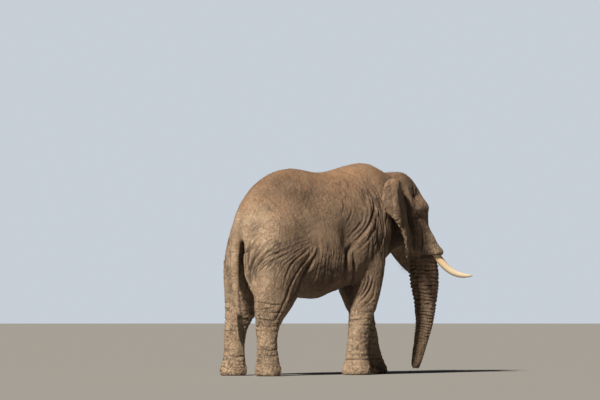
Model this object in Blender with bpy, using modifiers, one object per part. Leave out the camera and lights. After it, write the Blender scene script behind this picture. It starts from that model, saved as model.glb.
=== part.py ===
"""African bush elephant bull, life size, as a still museum model.

He stands in a slow stride, left forefoot leading, with his head low and his trunk hanging.
Metres, +Z up, +X the way he faces, +Y his left. Limbs and trunk are lofts through named
stations, fused into one body, which is then parted along thin cuts into its named parts.
Stations are measured from a plumb line through the top of the shoulder hump, and the last
step moves the origin to the middle of the footprint.
"""

import math

import bmesh
import bpy
import numpy as np
from mathutils import Matrix, Vector
from mathutils.bvhtree import BVHTree

# ---------------------------------------------------------------- driving dimensions

GAP = 0.0005  # clear space between neighbouring solids
VOXEL = 0.022  # grain of the fused body before it is thinned out
BODY_TRIANGLES = 3150

SIDES = (("left", 1), ("right", -1))

# ---------------------------------------------------------------- colours

HIDE = (0.205, 0.135, 0.085)
IVORY = (0.80, 0.66, 0.45)
HORN = (0.30, 0.22, 0.15)
EYE_BROWN = (0.045, 0.022, 0.010)
BRISTLE = (0.020, 0.016, 0.013)


def finish(name, colour, roughness):
    """A plain Principled material of one colour."""
    material = bpy.data.materials.new(name)
    material.use_nodes = True
    shader = material.node_tree.nodes["Principled BSDF"]
    shader.inputs["Base Color"].default_value = (*colour, 1.0)
    shader.inputs["Roughness"].default_value = roughness
    return material


# ---------------------------------------------------------------- mesh helpers


def clear_scene():
    for obj in list(bpy.data.objects):
        bpy.data.objects.remove(obj, do_unlink=True)


def new_object(name, bm, collection):
    """A linked object that holds the bmesh, with its normals facing out."""
    bmesh.ops.recalc_face_normals(bm, faces=bm.faces)
    mesh = bpy.data.meshes.new(name)
    bm.to_mesh(mesh)
    bm.free()
    obj = bpy.data.objects.new(name, mesh)
    collection.objects.link(obj)
    return obj


def smooth_rows(rows, count):
    """Resamples rows of numbers evenly along a Catmull-Rom curve through them."""
    rows = np.array(rows, float)
    padded = np.vstack([2 * rows[0] - rows[1], rows, 2 * rows[-1] - rows[-2]])
    along = np.linspace(0, len(rows) - 1, count)
    first = np.minimum(along.astype(int), len(rows) - 2)
    f = (along - first)[:, None]
    a, b, c, d = (padded[first + k] for k in range(4))
    bend = (2 * a - 5 * b + 4 * c - d) * f**2 + (3 * b - a - 3 * c + d) * f**3
    return 0.5 * (2 * b + (c - a) * f + bend)


def skin_rings(name, rings, collection):
    """One closed mesh over a list of rings of points, with flat ends."""
    bm = bmesh.new()
    loops = [[bm.verts.new(point) for point in ring] for ring in rings]
    sides = len(loops[0])
    for lower, upper in zip(loops, loops[1:]):
        for k in range(sides):
            n = (k + 1) % sides
            bm.faces.new((lower[k], lower[n], upper[n], upper[k]))
    bm.faces.new(loops[0][::-1])
    bm.faces.new(loops[-1])
    return new_object(name, bm, collection)


def power_circle(sides, square):
    """(cosine, sine) pairs of a superellipse: 2 is round, more is squarer, less is keeled."""
    for k in range(sides):
        turn = 2 * math.pi * (k + 0.5) / sides
        c, s = math.cos(turn), math.sin(turn)
        yield (
            math.copysign(abs(c) ** (2 / square), c),
            math.copysign(abs(s) ** (2 / square), s),
        )


def lengthwise_loft(name, stations, collection, square=2.0, rings=48, sides=40):
    """Rings across X. A station is (x, z_bottom, z_top, z_widest, half_width, keel)."""
    made = []
    for x, bottom, top, widest, half, keel in smooth_rows(stations, rings):
        upper = [(half * c, widest + (top - widest) * s) for c, s in power_circle(sides, square)]
        lower = [(half * c, widest + (widest - bottom) * s) for c, s in power_circle(sides, keel)]
        ring = upper[: sides // 2] + lower[sides // 2 :]
        made.append([(x, y, z) for y, z in ring])
    return skin_rings(name, made, collection)


def upright_loft(name, stations, collection, square=2.1, rings=40, sides=32):
    """Rings across Z. A station is (z, x_middle, y_middle, half_depth, half_width)."""
    made = []
    for z, x, y, depth, width in smooth_rows(stations, rings):
        ring = [(x + depth * s, y + width * c, z) for c, s in power_circle(sides, square)]
        made.append(ring)
    return skin_rings(name, made, collection)


def swept_loft(name, stations, collection, rings=24, sides=16):
    """Round rings square to a curved path. A station is (x, y, z, radius)."""
    rows = smooth_rows(stations, rings)
    points = [Vector(row[:3]) for row in rows]
    made = []
    for i, row in enumerate(rows):
        ahead = (points[min(i + 1, rings - 1)] - points[max(i - 1, 0)]).normalized()
        across = Vector((0, 1, 0))
        across = (across - ahead * across.dot(ahead)).normalized()
        over = ahead.cross(across)
        ring = []
        for k in range(sides):
            angle = 2 * math.pi * k / sides
            out = across * math.cos(angle) + over * math.sin(angle)
            ring.append(points[i] + out * row[3])
        made.append(ring)
    return skin_rings(name, made, collection)


def ellipsoid(name, centre, radii, collection, tilt=0.0, segments=24):
    """An ellipsoid, pitched about Y by tilt degrees."""
    bm = bmesh.new()
    bmesh.ops.create_uvsphere(bm, u_segments=segments, v_segments=segments // 2, radius=1)
    size = Matrix.Diagonal((*radii, 1))
    place = Matrix.Translation(centre) @ Matrix.Rotation(math.radians(tilt), 4, "Y")
    bmesh.ops.transform(bm, matrix=place @ size, verts=bm.verts)
    return new_object(name, bm, collection)


def block(name, centre, size, collection):
    """A box with its faces square to the axes."""
    bm = bmesh.new()
    bmesh.ops.create_cube(bm, size=1)
    place = Matrix.Translation(centre) @ Matrix.Diagonal((*size, 1))
    bmesh.ops.transform(bm, matrix=place, verts=bm.verts)
    return new_object(name, bm, collection)


def discard(obj):
    bpy.data.objects.remove(obj, do_unlink=True)


def bake_modifiers(obj):
    """Replaces the object's mesh by what its modifiers make of it."""
    bpy.context.view_layer.update()
    graph = bpy.context.evaluated_depsgraph_get()
    mesh = bpy.data.meshes.new_from_object(obj.evaluated_get(graph))
    obj.modifiers.clear()
    obj.data = mesh
    return obj


def boolean(obj, tool, operation):
    cut = obj.modifiers.new(operation.title(), "BOOLEAN")
    cut.object = tool
    cut.operation = operation
    return bake_modifiers(obj)


def join(name, pieces, collection):
    """One object that holds all the pieces' meshes, still overlapping."""
    bm = bmesh.new()
    for piece in pieces:
        bm.from_mesh(piece.data)
        discard(piece)
    return new_object(name, bm, collection)


def fuse(obj, voxel, passes):
    """Melts overlapping shapes into one surface and softens the seams between them."""
    melt = obj.modifiers.new("Melt", "REMESH")
    melt.mode = "VOXEL"
    melt.voxel_size = voxel
    soften = obj.modifiers.new("Soften", "SMOOTH")
    soften.factor = 0.5
    soften.iterations = passes
    return bake_modifiers(obj)


def press(obj, spot, radius, depth):
    """Presses the surface near the spot inward, or outward where depth is negative."""
    mesh = obj.data
    points = np.empty(len(mesh.vertices) * 3)
    mesh.vertices.foreach_get("co", points)
    normals = np.empty(len(mesh.vertices) * 3)
    mesh.vertex_normals.foreach_get("vector", normals)
    points, normals = points.reshape(-1, 3), normals.reshape(-1, 3)
    reach = ((points - spot) / radius) ** 2
    points -= normals * (depth * np.exp(-2 * reach.sum(axis=1)))[:, None]
    mesh.vertices.foreach_set("co", points.ravel())
    mesh.update()


def thin_out(obj, triangles):
    """Collapses edges until about that many triangles are left."""
    obj.data.calc_loop_triangles()
    fewer = obj.modifiers.new("Fewer", "DECIMATE")
    fewer.ratio = min(1.0, triangles / len(obj.data.loop_triangles))
    return bake_modifiers(obj)


def merge_flat(obj):
    """Rejoins the slivers that cutting leaves on a flat facet."""
    flat = obj.modifiers.new("Flat", "DECIMATE")
    flat.decimate_type = "DISSOLVE"
    flat.angle_limit = math.radians(0.3)
    return bake_modifiers(obj)


def carve(obj, tool, gap=GAP):
    """Cuts the tool, swollen by the gap, out of the object. The tool is kept."""
    swollen = tool.copy()
    swollen.data = tool.data.copy()
    bpy.context.scene.collection.objects.link(swollen)
    swell = swollen.modifiers.new("Swell", "DISPLACE")
    swell.strength = gap
    swell.mid_level = 0.0
    bake_modifiers(swollen)
    boolean(obj, swollen, "DIFFERENCE")
    discard(swollen)
    return obj


# ---------------------------------------------------------------- trunk of the body

# x, z_bottom, z_top, z_widest, half_width, keel of the underside
TORSO = (
    (-2.58, 2.12, 2.40, 2.26, 0.07, 2.0),
    (-2.47, 1.88, 2.60, 2.20, 0.26, 2.0),
    (-2.28, 1.58, 2.84, 2.14, 0.43, 2.0),
    (-2.05, 1.38, 3.05, 2.10, 0.54, 2.1),
    (-1.75, 1.26, 3.18, 2.06, 0.62, 2.2),
    (-1.50, 1.21, 3.22, 2.02, 0.675, 2.2),
    (-1.15, 1.20, 3.18, 1.98, 0.725, 2.2),
    (-0.88, 1.26, 3.17, 1.98, 0.74, 2.2),
    (-0.55, 1.36, 3.24, 2.04, 0.72, 2.1),
    (-0.30, 1.43, 3.31, 2.14, 0.675, 2.0),
    (0.00, 1.52, 3.34, 2.26, 0.61, 1.8),
    (0.22, 1.68, 3.27, 2.36, 0.51, 1.6),
    (0.42, 1.84, 3.19, 2.44, 0.41, 1.7),
    (0.62, 2.00, 3.16, 2.50, 0.34, 2.0),
    (0.80, 2.15, 3.04, 2.55, 0.24, 2.0),
)

# ---------------------------------------------------------------- legs

# z, middle to the midline of the body, half_depth, half_width
FORE_SECTIONS = (
    (2.62, 0.32, 0.16, 0.10),
    (2.35, 0.38, 0.27, 0.18),
    (2.00, 0.42, 0.29, 0.225),
    (1.70, 0.42, 0.262, 0.225),
    (1.45, 0.41, 0.244, 0.212),
    (1.25, 0.405, 0.238, 0.205),
    (1.05, 0.40, 0.230, 0.196),
    (0.85, 0.395, 0.192, 0.178),
    (0.68, 0.39, 0.176, 0.168),
    (0.48, 0.39, 0.169, 0.164),
    (0.30, 0.39, 0.184, 0.180),
    (0.14, 0.39, 0.216, 0.208),
    (0.00, 0.39, 0.230, 0.220),
    (-0.06, 0.39, 0.230, 0.220),
)
HIND_SECTIONS = (
    (2.78, 0.26, 0.18, 0.12),
    (2.55, 0.30, 0.34, 0.22),
    (2.25, 0.35, 0.44, 0.27),
    (1.85, 0.385, 0.49, 0.275),
    (1.50, 0.385, 0.46, 0.255),
    (1.20, 0.38, 0.39, 0.220),
    (1.05, 0.375, 0.345, 0.202),
    (0.92, 0.37, 0.268, 0.188),
    (0.80, 0.365, 0.215, 0.175),
    (0.66, 0.365, 0.184, 0.161),
    (0.45, 0.365, 0.169, 0.153),
    (0.27, 0.365, 0.183, 0.168),
    (0.12, 0.365, 0.204, 0.190),
    (0.00, 0.365, 0.214, 0.200),
    (-0.06, 0.365, 0.214, 0.200),
)

# (z, x) of each leg's joints from the shoulder or hip down to the sole
LEG_JOINTS = {
    "foreleg_left": ((2.62, -0.14), (2.00, -0.06), (1.45, 0.07), (0.75, 0.37), (0.00, 0.54)),
    "foreleg_right": ((2.62, -0.16), (2.00, -0.25), (1.45, -0.265), (0.75, -0.44), (0.00, -0.50)),
    "hindleg_left": ((2.78, -1.88), (2.00, -1.96), (1.20, -2.09), (0.70, -2.31), (0.00, -2.36)),
    "hindleg_right": ((2.78, -1.88), (2.00, -1.96), (1.20, -2.12), (0.70, -2.28), (0.00, -2.26)),
}


def leg(name, side, sections, collection):
    """A leg from inside the trunk of the body to just below the sole."""
    joints = smooth_rows(LEG_JOINTS[name], 60)[::-1]
    stations = []
    for z, middle, depth, width in sections:
        x = float(np.interp(z, joints[:, 0], joints[:, 1]))
        stations.append((z, x, side * middle, depth, width))
    return upright_loft(name, stations, collection, square=2.15)


# ---------------------------------------------------------------- head and trunk

# z, x_middle, half_depth, half_width of the skull, from the crown to the tusk sheaths
SKULL = (
    (3.20, 0.62, 0.10, 0.10),
    (3.15, 0.62, 0.22, 0.22),
    (3.03, 0.65, 0.32, 0.31),
    (2.86, 0.71, 0.385, 0.350),
    (2.70, 0.78, 0.41, 0.368),
    (2.54, 0.84, 0.40, 0.355),
    (2.38, 0.88, 0.38, 0.330),
    (2.20, 0.94, 0.36, 0.310),
    (2.02, 1.03, 0.32, 0.290),
    (1.90, 1.12, 0.24, 0.240),
)

# z, x_middle, half_depth, half_width of the trunk, from the face to its tip
TRUNK = (
    (2.40, 1.00, 0.18, 0.20),
    (2.10, 1.13, 0.25, 0.245),
    (1.85, 1.23, 0.240, 0.243),
    (1.60, 1.275, 0.230, 0.238),
    (1.45, 1.292, 0.226, 0.231),
    (1.31, 1.300, 0.210, 0.212),
    (1.15, 1.306, 0.185, 0.187),
    (1.00, 1.305, 0.165, 0.167),
    (0.84, 1.292, 0.148, 0.149),
    (0.68, 1.262, 0.134, 0.135),
    (0.50, 1.215, 0.119, 0.120),
    (0.34, 1.165, 0.106, 0.107),
    (0.20, 1.118, 0.095, 0.097),
    (0.10, 1.090, 0.088, 0.092),
)

# x, y, z, radius of the left tusk's sheath, and of the tusk from its root to its tip
SHEATH = (
    (0.98, 0.15, 2.46, 0.11),
    (1.09, 0.20, 2.25, 0.130),
    (1.19, 0.245, 2.05, 0.124),
    (1.27, 0.272, 1.93, 0.114),
    (1.31, 0.288, 1.865, 0.104),
)
TUSK = (
    (1.19, 0.245, 2.05, 0.046),
    (1.265, 0.272, 1.93, 0.058),
    (1.35, 0.302, 1.80, 0.062),
    (1.46, 0.342, 1.685, 0.058),
    (1.58, 0.382, 1.605, 0.051),
    (1.71, 0.420, 1.565, 0.040),
    (1.83, 0.448, 1.558, 0.025),
    (1.90, 0.460, 1.564, 0.010),
)

# x, y, z, radius of the lower jaw, from the throat to the point of the lip
JAW = (
    (0.60, 0.0, 2.33, 0.21),
    (0.68, 0.0, 2.13, 0.20),
    (0.765, 0.0, 1.96, 0.160),
    (0.85, 0.0, 1.81, 0.112),
    (0.92, 0.0, 1.69, 0.068),
    (0.955, 0.0, 1.61, 0.028),
)

EYE_RADIUS = 0.023
EYE_SINK = 0.013  # from the surface of the face in to the eye's middle
EYE_SPOT = (1.00, 2.56)  # x, z


def head_shapes(work):
    """The skull, face, tusk sheaths and trunk as overlapping shapes."""
    skull = [(z, x, 0.0, depth, width) for z, x, depth, width in SKULL]
    trunk = [(z, x, 0.0, depth, width) for z, x, depth, width in TRUNK]
    shapes = [
        upright_loft("skull", skull, work, square=2.2),
        upright_loft("trunk", trunk, work, square=2.1),
        ellipsoid("forehead", (0.87, 0, 2.85), (0.26, 0.25, 0.20), work, tilt=35),
        ellipsoid("nose_bridge", (1.07, 0, 2.40), (0.16, 0.19, 0.40), work, tilt=-12),
        ellipsoid("finger_fore", (1.150, 0, 0.085), (0.034, 0.040, 0.050), work),
        ellipsoid("finger_aft", (1.035, 0, 0.085), (0.034, 0.040, 0.045), work),
    ]
    for name, side in SIDES:
        sheath = [(x, side * y, z, radius) for x, y, z, radius in SHEATH]
        shapes += [
            swept_loft(f"sheath_{name}", sheath, work),
            ellipsoid(f"lip_{name}", (1.08, side * 0.24, 1.95), (0.25, 0.08, 0.09), work),
            ellipsoid(f"brow_{name}", (1.00, side * 0.275, 2.66), (0.15, 0.11, 0.105), work, tilt=40),
            ellipsoid(f"cheek_{name}", (0.78, side * 0.24, 2.18), (0.20, 0.13, 0.30), work, tilt=-25),
            ellipsoid(f"dome_{name}", (0.66, side * 0.12, 3.06), (0.22, 0.15, 0.15), work, tilt=18),
        ]
    return shapes


def body_shapes(work):
    """The trunk of the body and the legs, with the muscles that stand out under the hide."""
    shapes = [
        lengthwise_loft("torso", TORSO, work),
        ellipsoid("belly_fold", (-1.18, 0, 1.31), (0.42, 0.18, 0.13), work, tilt=2),
        ellipsoid("throat", (0.50, 0, 2.14), (0.32, 0.20, 0.22), work, tilt=-12),
        ellipsoid("breast", (-0.02, 0, 1.78), (0.30, 0.26, 0.34), work),
    ]
    for name, side in SIDES:
        shapes += [
            leg(f"foreleg_{name}", side, FORE_SECTIONS, work),
            leg(f"hindleg_{name}", side, HIND_SECTIONS, work),
            ellipsoid(f"blade_{name}", (-0.12, side * 0.36, 2.58), (0.26, 0.22, 0.50), work, tilt=8),
            ellipsoid(f"thigh_{name}", (-1.82, side * 0.44, 2.00), (0.38, 0.17, 0.50), work, tilt=14),
            ellipsoid(f"ham_{name}", (-2.32, side * 0.185, 1.78), (0.25, 0.17, 0.62), work, tilt=-5),
        ]
    return shapes


# spot on the left, reach in x, y, z, and how deep: bony bosses stand out, hollows sink in
PRESSES = (
    ((0.82, 0.36, 2.84), (0.17, 0.20, 0.17), 0.055),  # temple
    ((0.98, 0.32, 2.47), (0.16, 0.15, 0.10), 0.030),  # under the eye
    ((0.80, 0.34, 2.30), (0.20, 0.16, 0.24), -0.025),  # cheek
    ((-1.45, 0.62, 2.62), (0.34, 0.30, 0.30), 0.035),  # flank before the hip
    ((-0.62, 0.72, 2.30), (0.26, 0.30, 0.55), 0.030),  # behind the shoulder
    ((0.28, 0.42, 2.55), (0.20, 0.26, 0.45), 0.035),  # side of the neck
    ((-0.10, 0.62, 2.60), (0.12, 0.30, 0.45), -0.022),  # spine of the shoulder blade
    ((-1.74, 0.50, 2.84), (0.22, 0.26, 0.18), -0.030),  # point of the hip
    ((-2.50, 0.00, 1.95), (0.30, 0.11, 0.30), 0.060),  # cleft under the tail
    ((-2.44, 0.00, 1.60), (0.30, 0.11, 0.30), 0.060),  # cleft between the thighs
)


def whole_body(work):
    """The fused body with flat soles at floor level."""
    body = join("body", body_shapes(work) + head_shapes(work), work)
    fuse(body, VOXEL, 26)
    for _, side in SIDES:
        for (x, y, z), radius, depth in PRESSES:
            press(body, (x, side * y, z), radius, depth)
    thin_out(body, BODY_TRIANGLES)
    below_floor = block("below_floor", (0, 0, -0.5), (8, 4, 1), work)
    boolean(body, below_floor, "DIFFERENCE")
    discard(below_floor)
    return body


# ---------------------------------------------------------------- ears

EAR_THICKNESS = 0.030
EAR_TRIANGLES = 380
# z, x of the line along which the ear grows from the head, from top to bottom
EAR_ROOT = ((2.96, 0.47), (2.72, 0.53), (2.40, 0.60), (2.10, 0.66), (1.84, 0.70))
EAR_ROOT_SIDE = 0.335
EAR_FLAP_ANGLE = -25  # degrees off straight back, toward the neck
EAR_BEND = 0.09  # length over which the sheet turns into its rolled margin
# z at the root, z at the margin, width out to the ridge, width rolled over, degrees off back
EAR_SPOKES = (
    (2.96, 3.02, 0.10, 0.02, 42),
    (2.93, 3.07, 0.32, 0.06, 40),
    (2.88, 3.07, 0.48, 0.16, 38),
    (2.80, 2.97, 0.58, 0.23, 36),
    (2.71, 2.77, 0.64, 0.26, 35),
    (2.62, 2.58, 0.65, 0.24, 35),
    (2.54, 2.42, 0.60, 0.10, 36),
    (2.46, 2.27, 0.52, 0.06, 39),
    (2.38, 2.10, 0.45, 0.04, 43),
    (2.30, 1.94, 0.40, 0.04, 44),
    (2.22, 1.82, 0.33, 0.04, 43),
    (2.16, 1.84, 0.23, 0.03, 43),
    (2.12, 1.93, 0.10, 0.02, 43),
)


def ear_path(main, flap, flare, steps):
    """Points (back, out) along one spoke: straight out to the ridge, then rolled toward the neck."""
    path = [(0.0, 0.0)]
    length = main + flap
    for k in range(steps):
        s = length * (k + 0.5) / steps
        turned = min(1.0, max(0.0, (s - main) / EAR_BEND + 0.5))
        bow = 8 * math.sin(math.pi * s / length)
        angle = math.radians(flare + bow + (EAR_FLAP_ANGLE - flare) * turned)
        back, out = path[-1]
        step = length / steps
        path.append((back + step * math.cos(angle), out + step * math.sin(angle)))
    return path


def ear(name, side, collection):
    """A hanging sheet that stands off the head, with its upper margin rolled toward the neck."""
    across, down = 20, 22
    bm = bmesh.new()
    bmesh.ops.create_grid(bm, x_segments=across, y_segments=down, size=1)
    spokes = smooth_rows(EAR_SPOKES, 101)
    roots = np.array(EAR_ROOT)[::-1]
    for vert in bm.verts:
        u, v = (vert.co.x + 1) / 2, (1 - vert.co.y) / 2
        z_root, z_rim, main, flap, flare = spokes[round(v * 100)]
        x_root = float(np.interp(z_root, roots[:, 0], roots[:, 1]))
        back, out = ear_path(main, flap, flare, across)[round(u * across)]
        z = z_root + (z_rim - z_root) * u
        vert.co = (x_root - back, side * (EAR_ROOT_SIDE + out), z)
    obj = new_object(name, bm, collection)
    thick = obj.modifiers.new("Thickness", "SOLIDIFY")
    thick.thickness = EAR_THICKNESS
    thick.offset = 0.0
    return thin_out(bake_modifiers(obj), EAR_TRIANGLES)


# ---------------------------------------------------------------- tail, tusks, jaw, eyes, nails

# x, y, z, radius
TAIL = (
    (-2.26, 0.0, 2.64, 0.100),
    (-2.40, 0.0, 2.54, 0.116),
    (-2.51, 0.0, 2.38, 0.112),
    (-2.585, 0.0, 2.16, 0.090),
    (-2.62, 0.0, 1.85, 0.072),
    (-2.635, -0.015, 1.50, 0.062),
    (-2.635, -0.060, 1.20, 0.052),
    (-2.630, -0.125, 0.90, 0.036),
)
TUFT = (
    (-2.630, -0.114, 0.95, 0.042),
    (-2.628, -0.146, 0.80, 0.060),
    (-2.625, -0.176, 0.62, 0.056),
    (-2.622, -0.195, 0.46, 0.030),
    (-2.622, -0.198, 0.41, 0.010),
)

NAIL_HEIGHT = 0.062
NAIL_SIZE = (0.034, 0.060, 0.054)  # thickness, width and height, each halved
FORE_NAILS = (-50, -17, 17, 50)  # degrees round from straight ahead
HIND_NAILS = (-36, 0, 36)


def surface_hit(obj, start, toward):
    """Where a straight line from start first meets the object, and the outward normal there."""
    tree = BVHTree.FromObject(obj, bpy.context.evaluated_depsgraph_get())
    spot, normal, _, _ = tree.ray_cast(Vector(start), (Vector(toward) - Vector(start)).normalized())
    return spot, normal


def eye(name, side, body, collection):
    x, z = EYE_SPOT
    spot, normal = surface_hit(body, (x, side * 1.0, z), (x, 0, z))
    centre = spot - normal * EYE_SINK
    return ellipsoid(name, centre, (EYE_RADIUS,) * 3, collection, segments=12)


def nail(name, body, foot_centre, degrees, side, collection):
    """A domed nail that lies on the front rim of a foot."""
    turn = math.radians(degrees) * side
    ahead = Vector((math.cos(turn), math.sin(turn), 0))
    centre = Vector(foot_centre) + Vector((0, 0, NAIL_HEIGHT))
    spot, _ = surface_hit(body, centre + ahead, centre)
    obj = ellipsoid(name, (0, 0, 0), NAIL_SIZE, collection, segments=8)
    obj.data.transform(Matrix.Translation(spot - ahead * 0.014) @ Matrix.Rotation(turn, 4, "Z"))
    return carve(obj, body)


def nails(body, collection):
    """Four nails on each forefoot and three on each hind foot."""
    for name, side in SIDES:
        for foot, degrees, y in (("fore", FORE_NAILS, 0.39), ("hind", HIND_NAILS, 0.365)):
            centre = (LEG_JOINTS[f"{foot}leg_{name}"][-1][1], side * y, 0)
            for count, angle in enumerate(degrees, 1):
                label = f"nail_{foot}_{name}_{count}"
                nail(label, body, centre, angle, side, collection)


# ---------------------------------------------------------------- parting the body

FAR = 4.0
SIDE_CUT = 1.15  # how far out the leg cuts reach

# Cuts across the body, each a line from (x, z) at the top to (x, z) at the bottom.
HEAD_CUT = ((0.36, 3.20), (0.62, 1.90))
NECK_CUT = ((0.06, 3.30), (0.16, 1.50))
CHEST_CUT = ((-0.78, 3.20), (-0.70, 1.30))
RUMP_CUT = ((-1.40, 3.20), (-1.62, 1.30))
TRUNK_CUTS = (("trunk_upper", 1.835), ("trunk_middle", 1.22), ("trunk_lower", 0.66))
FOOT_HEIGHT = 0.30

# Each leg's cut: x of its back and front planes at z 2.3 and at the floor, and the height
# of the slanting plane over it, at the midline and at SIDE_CUT.
LEG_CUTS = {
    "foreleg_left": ((-0.42, 0.10), (0.38, 0.92), (1.36, 2.36)),
    "foreleg_right": ((-0.48, -0.80), (0.16, -0.16), (1.36, 2.36)),
    "hindleg_left": ((-3.20, -3.20), (-1.42, -2.02), (1.30, 2.52)),
    "hindleg_right": ((-3.20, -3.20), (-1.42, -2.00), (1.30, 2.52)),
}


def hull(name, corners, collection):
    """A convex block on the given corners."""
    bm = bmesh.new()
    for corner in corners:
        bm.verts.new(corner)
    bmesh.ops.convex_hull(bm, input=bm.verts)
    return new_object(name, bm, collection)


def ahead_of(line, collection):
    """Everything in front of a slanting cut across the body."""
    (x_top, z_top), (x_bottom, z_bottom) = line
    slope = (x_top - x_bottom) / (z_top - z_bottom)
    corners = []
    for y in (-FAR, FAR):
        for z in (-1.0, FAR):
            corners += [(x_top + slope * (z - z_top), y, z), (FAR, y, z)]
    return hull("ahead", corners, collection)


def leg_block(name, side, collection):
    """Everything of one leg below its slanting cut."""
    (back_top, back_foot), (front_top, front_foot), (inner, outer) = LEG_CUTS[name]
    corners = []
    for reach, height in ((0.012, inner), (SIDE_CUT, outer)):
        for z in (-0.2, height):
            share = z / 2.3
            back = back_foot + (back_top - back_foot) * share
            front = front_foot + (front_top - front_foot) * share
            corners += [(back, side * reach, z), (front, side * reach, z)]
    return hull("leg_block", corners, collection)


def part_off(obj, name, tool, collection):
    """Splits the object along the tool: what is inside it becomes a new part."""
    piece = obj.copy()
    piece.data = obj.data.copy()
    piece.name = name
    collection.objects.link(piece)
    boolean(piece, tool, "INTERSECT")
    carve(obj, tool, GAP * 1.7)
    discard(tool)
    return piece


def part_body(body, collection):
    """Divides the fused body into the parts that a person would name."""
    for name in LEG_JOINTS:
        side = 1 if name.endswith("left") else -1
        limb = part_off(body, name, leg_block(name, side, collection), collection)
        low = block("low", (0, 0, FOOT_HEIGHT - 1), (8, 4, 2), collection)
        part_off(limb, name.replace("leg", "foot"), low, collection)
    head = part_off(body, "head", ahead_of(HEAD_CUT, collection), collection)
    above = head
    for name, height in TRUNK_CUTS:
        low = block("low", (1.0, 0, height - 1.5), (3, 3, 3), collection)
        above = part_off(above, name, low, collection)
    part_off(body, "neck", ahead_of(NECK_CUT, collection), collection)
    part_off(body, "chest", ahead_of(CHEST_CUT, collection), collection)
    part_off(body, "barrel", ahead_of(RUMP_CUT, collection), collection)
    body.name = "rump"


# ---------------------------------------------------------------- assembly


def build(collection):
    body = whole_body(collection)
    for name, side in SIDES:
        tusk = [(x, side * y, z, radius) for x, y, z, radius in TUSK]
        ivory = swept_loft(f"tusk_{name}", tusk, collection, rings=12, sides=9)
        ball = eye(f"eye_{name}", side, body, collection)
        flap = ear(f"ear_{name}", side, collection)
        carve(flap, body)
        carve(body, ivory)
        carve(body, ball)
    nails(body, collection)
    jaw = swept_loft("jaw", JAW, collection, rings=9, sides=12)
    carve(jaw, body)
    tail = swept_loft("tail", TAIL, collection, rings=11, sides=8)
    carve(tail, body)
    tuft = swept_loft("tail_tuft", TUFT, collection, rings=7, sides=8)
    carve(tuft, tail)
    part_body(body, collection)
    for obj in collection.objects:
        merge_flat(obj)


def paint(collection):
    """Gives every part a material of its own."""
    for obj in collection.objects:
        if obj.name.startswith("tusk"):
            look = finish(f"{obj.name}_ivory", IVORY, 0.35)
        elif obj.name.startswith("nail"):
            look = finish(f"{obj.name}_horn", HORN, 0.55)
        elif obj.name.startswith("eye"):
            look = finish(f"{obj.name}_ball", EYE_BROWN, 0.08)
        elif obj.name == "tail_tuft":
            look = finish("tail_tuft_hair", BRISTLE, 0.6)
        else:
            look = finish(f"{obj.name}_hide", HIDE, 0.85)
        obj.data.materials.clear()
        obj.data.materials.append(look)


def settle(collection):
    """Moves the origin to the middle of the bounding box, at floor level."""
    points = np.array([v.co for obj in collection.objects for v in obj.data.vertices])
    middle = (points.min(axis=0) + points.max(axis=0)) / 2
    for obj in collection.objects:
        obj.data.transform(Matrix.Translation((-middle[0], -middle[1], 0)))


clear_scene()
elephant = bpy.data.collections.new("elephant")
bpy.context.scene.collection.children.link(elephant)
build(elephant)
paint(elephant)
settle(elephant)
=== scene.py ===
"""The looks of an African bush elephant bull, life size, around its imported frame.

Metres, +Z up, +X the way he faces, +Y his left.
"""

import math

import bmesh
import bpy
import numpy as np
from mathutils import Matrix, Vector
from mathutils.bvhtree import BVHTree


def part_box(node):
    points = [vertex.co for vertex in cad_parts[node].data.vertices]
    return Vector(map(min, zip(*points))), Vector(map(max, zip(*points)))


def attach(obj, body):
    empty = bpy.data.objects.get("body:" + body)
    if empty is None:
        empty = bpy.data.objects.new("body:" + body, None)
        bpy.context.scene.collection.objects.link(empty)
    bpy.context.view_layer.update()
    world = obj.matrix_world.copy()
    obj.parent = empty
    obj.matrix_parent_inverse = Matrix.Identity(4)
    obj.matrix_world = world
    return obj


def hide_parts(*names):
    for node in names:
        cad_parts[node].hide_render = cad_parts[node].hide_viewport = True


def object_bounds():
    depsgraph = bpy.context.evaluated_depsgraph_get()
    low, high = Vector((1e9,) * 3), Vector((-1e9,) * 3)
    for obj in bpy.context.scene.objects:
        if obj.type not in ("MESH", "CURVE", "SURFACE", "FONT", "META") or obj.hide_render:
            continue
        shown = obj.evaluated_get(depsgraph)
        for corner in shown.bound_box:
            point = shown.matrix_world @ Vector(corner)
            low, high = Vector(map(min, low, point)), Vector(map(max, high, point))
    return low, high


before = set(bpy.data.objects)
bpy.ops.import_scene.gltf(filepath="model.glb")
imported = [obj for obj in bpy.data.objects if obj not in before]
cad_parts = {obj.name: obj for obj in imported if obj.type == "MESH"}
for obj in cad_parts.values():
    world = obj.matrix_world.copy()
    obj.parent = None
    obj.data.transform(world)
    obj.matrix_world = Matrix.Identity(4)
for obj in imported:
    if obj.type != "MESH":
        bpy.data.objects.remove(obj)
cad_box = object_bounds()

# ---------------------------------------------------------------- the hide's form
# One continuous hide over head, trunk, ears, body, legs and tail. It is the parted solids
# melted into one, relaxed until no facet is left, and meshed again fine enough to carve.

SIDES = (("left", 1), ("right", -1))
FLESH = (
    ["head", "jaw", "neck", "chest", "barrel", "rump", "tail"]
    + ["trunk_upper", "trunk_middle", "trunk_lower"]
    + [f"{part}_{side}" for part in ("ear", "foreleg", "hindleg") for side, _ in SIDES]
    + [f"{part}_{side}" for part in ("forefoot", "hindfoot") for side, _ in SIDES]
)
WITHERS_X = 0.40  # the top of the shoulder hump stands over this point
COARSE = 0.022  # mesh size while the form is relaxed
FINE = 0.0118  # mesh size that folds are carved in; head and trunk are halved again
TUSK_ROOT = (1.275, 0.275, 1.925)  # where the left tusk leaves its sheath, from the withers
EYE_PLUG, TUSK_PLUG = 0.032, 0.075  # radii of the balls that close the sockets
IRONING, GIVING_BACK = 34, 26  # passes of each


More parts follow.
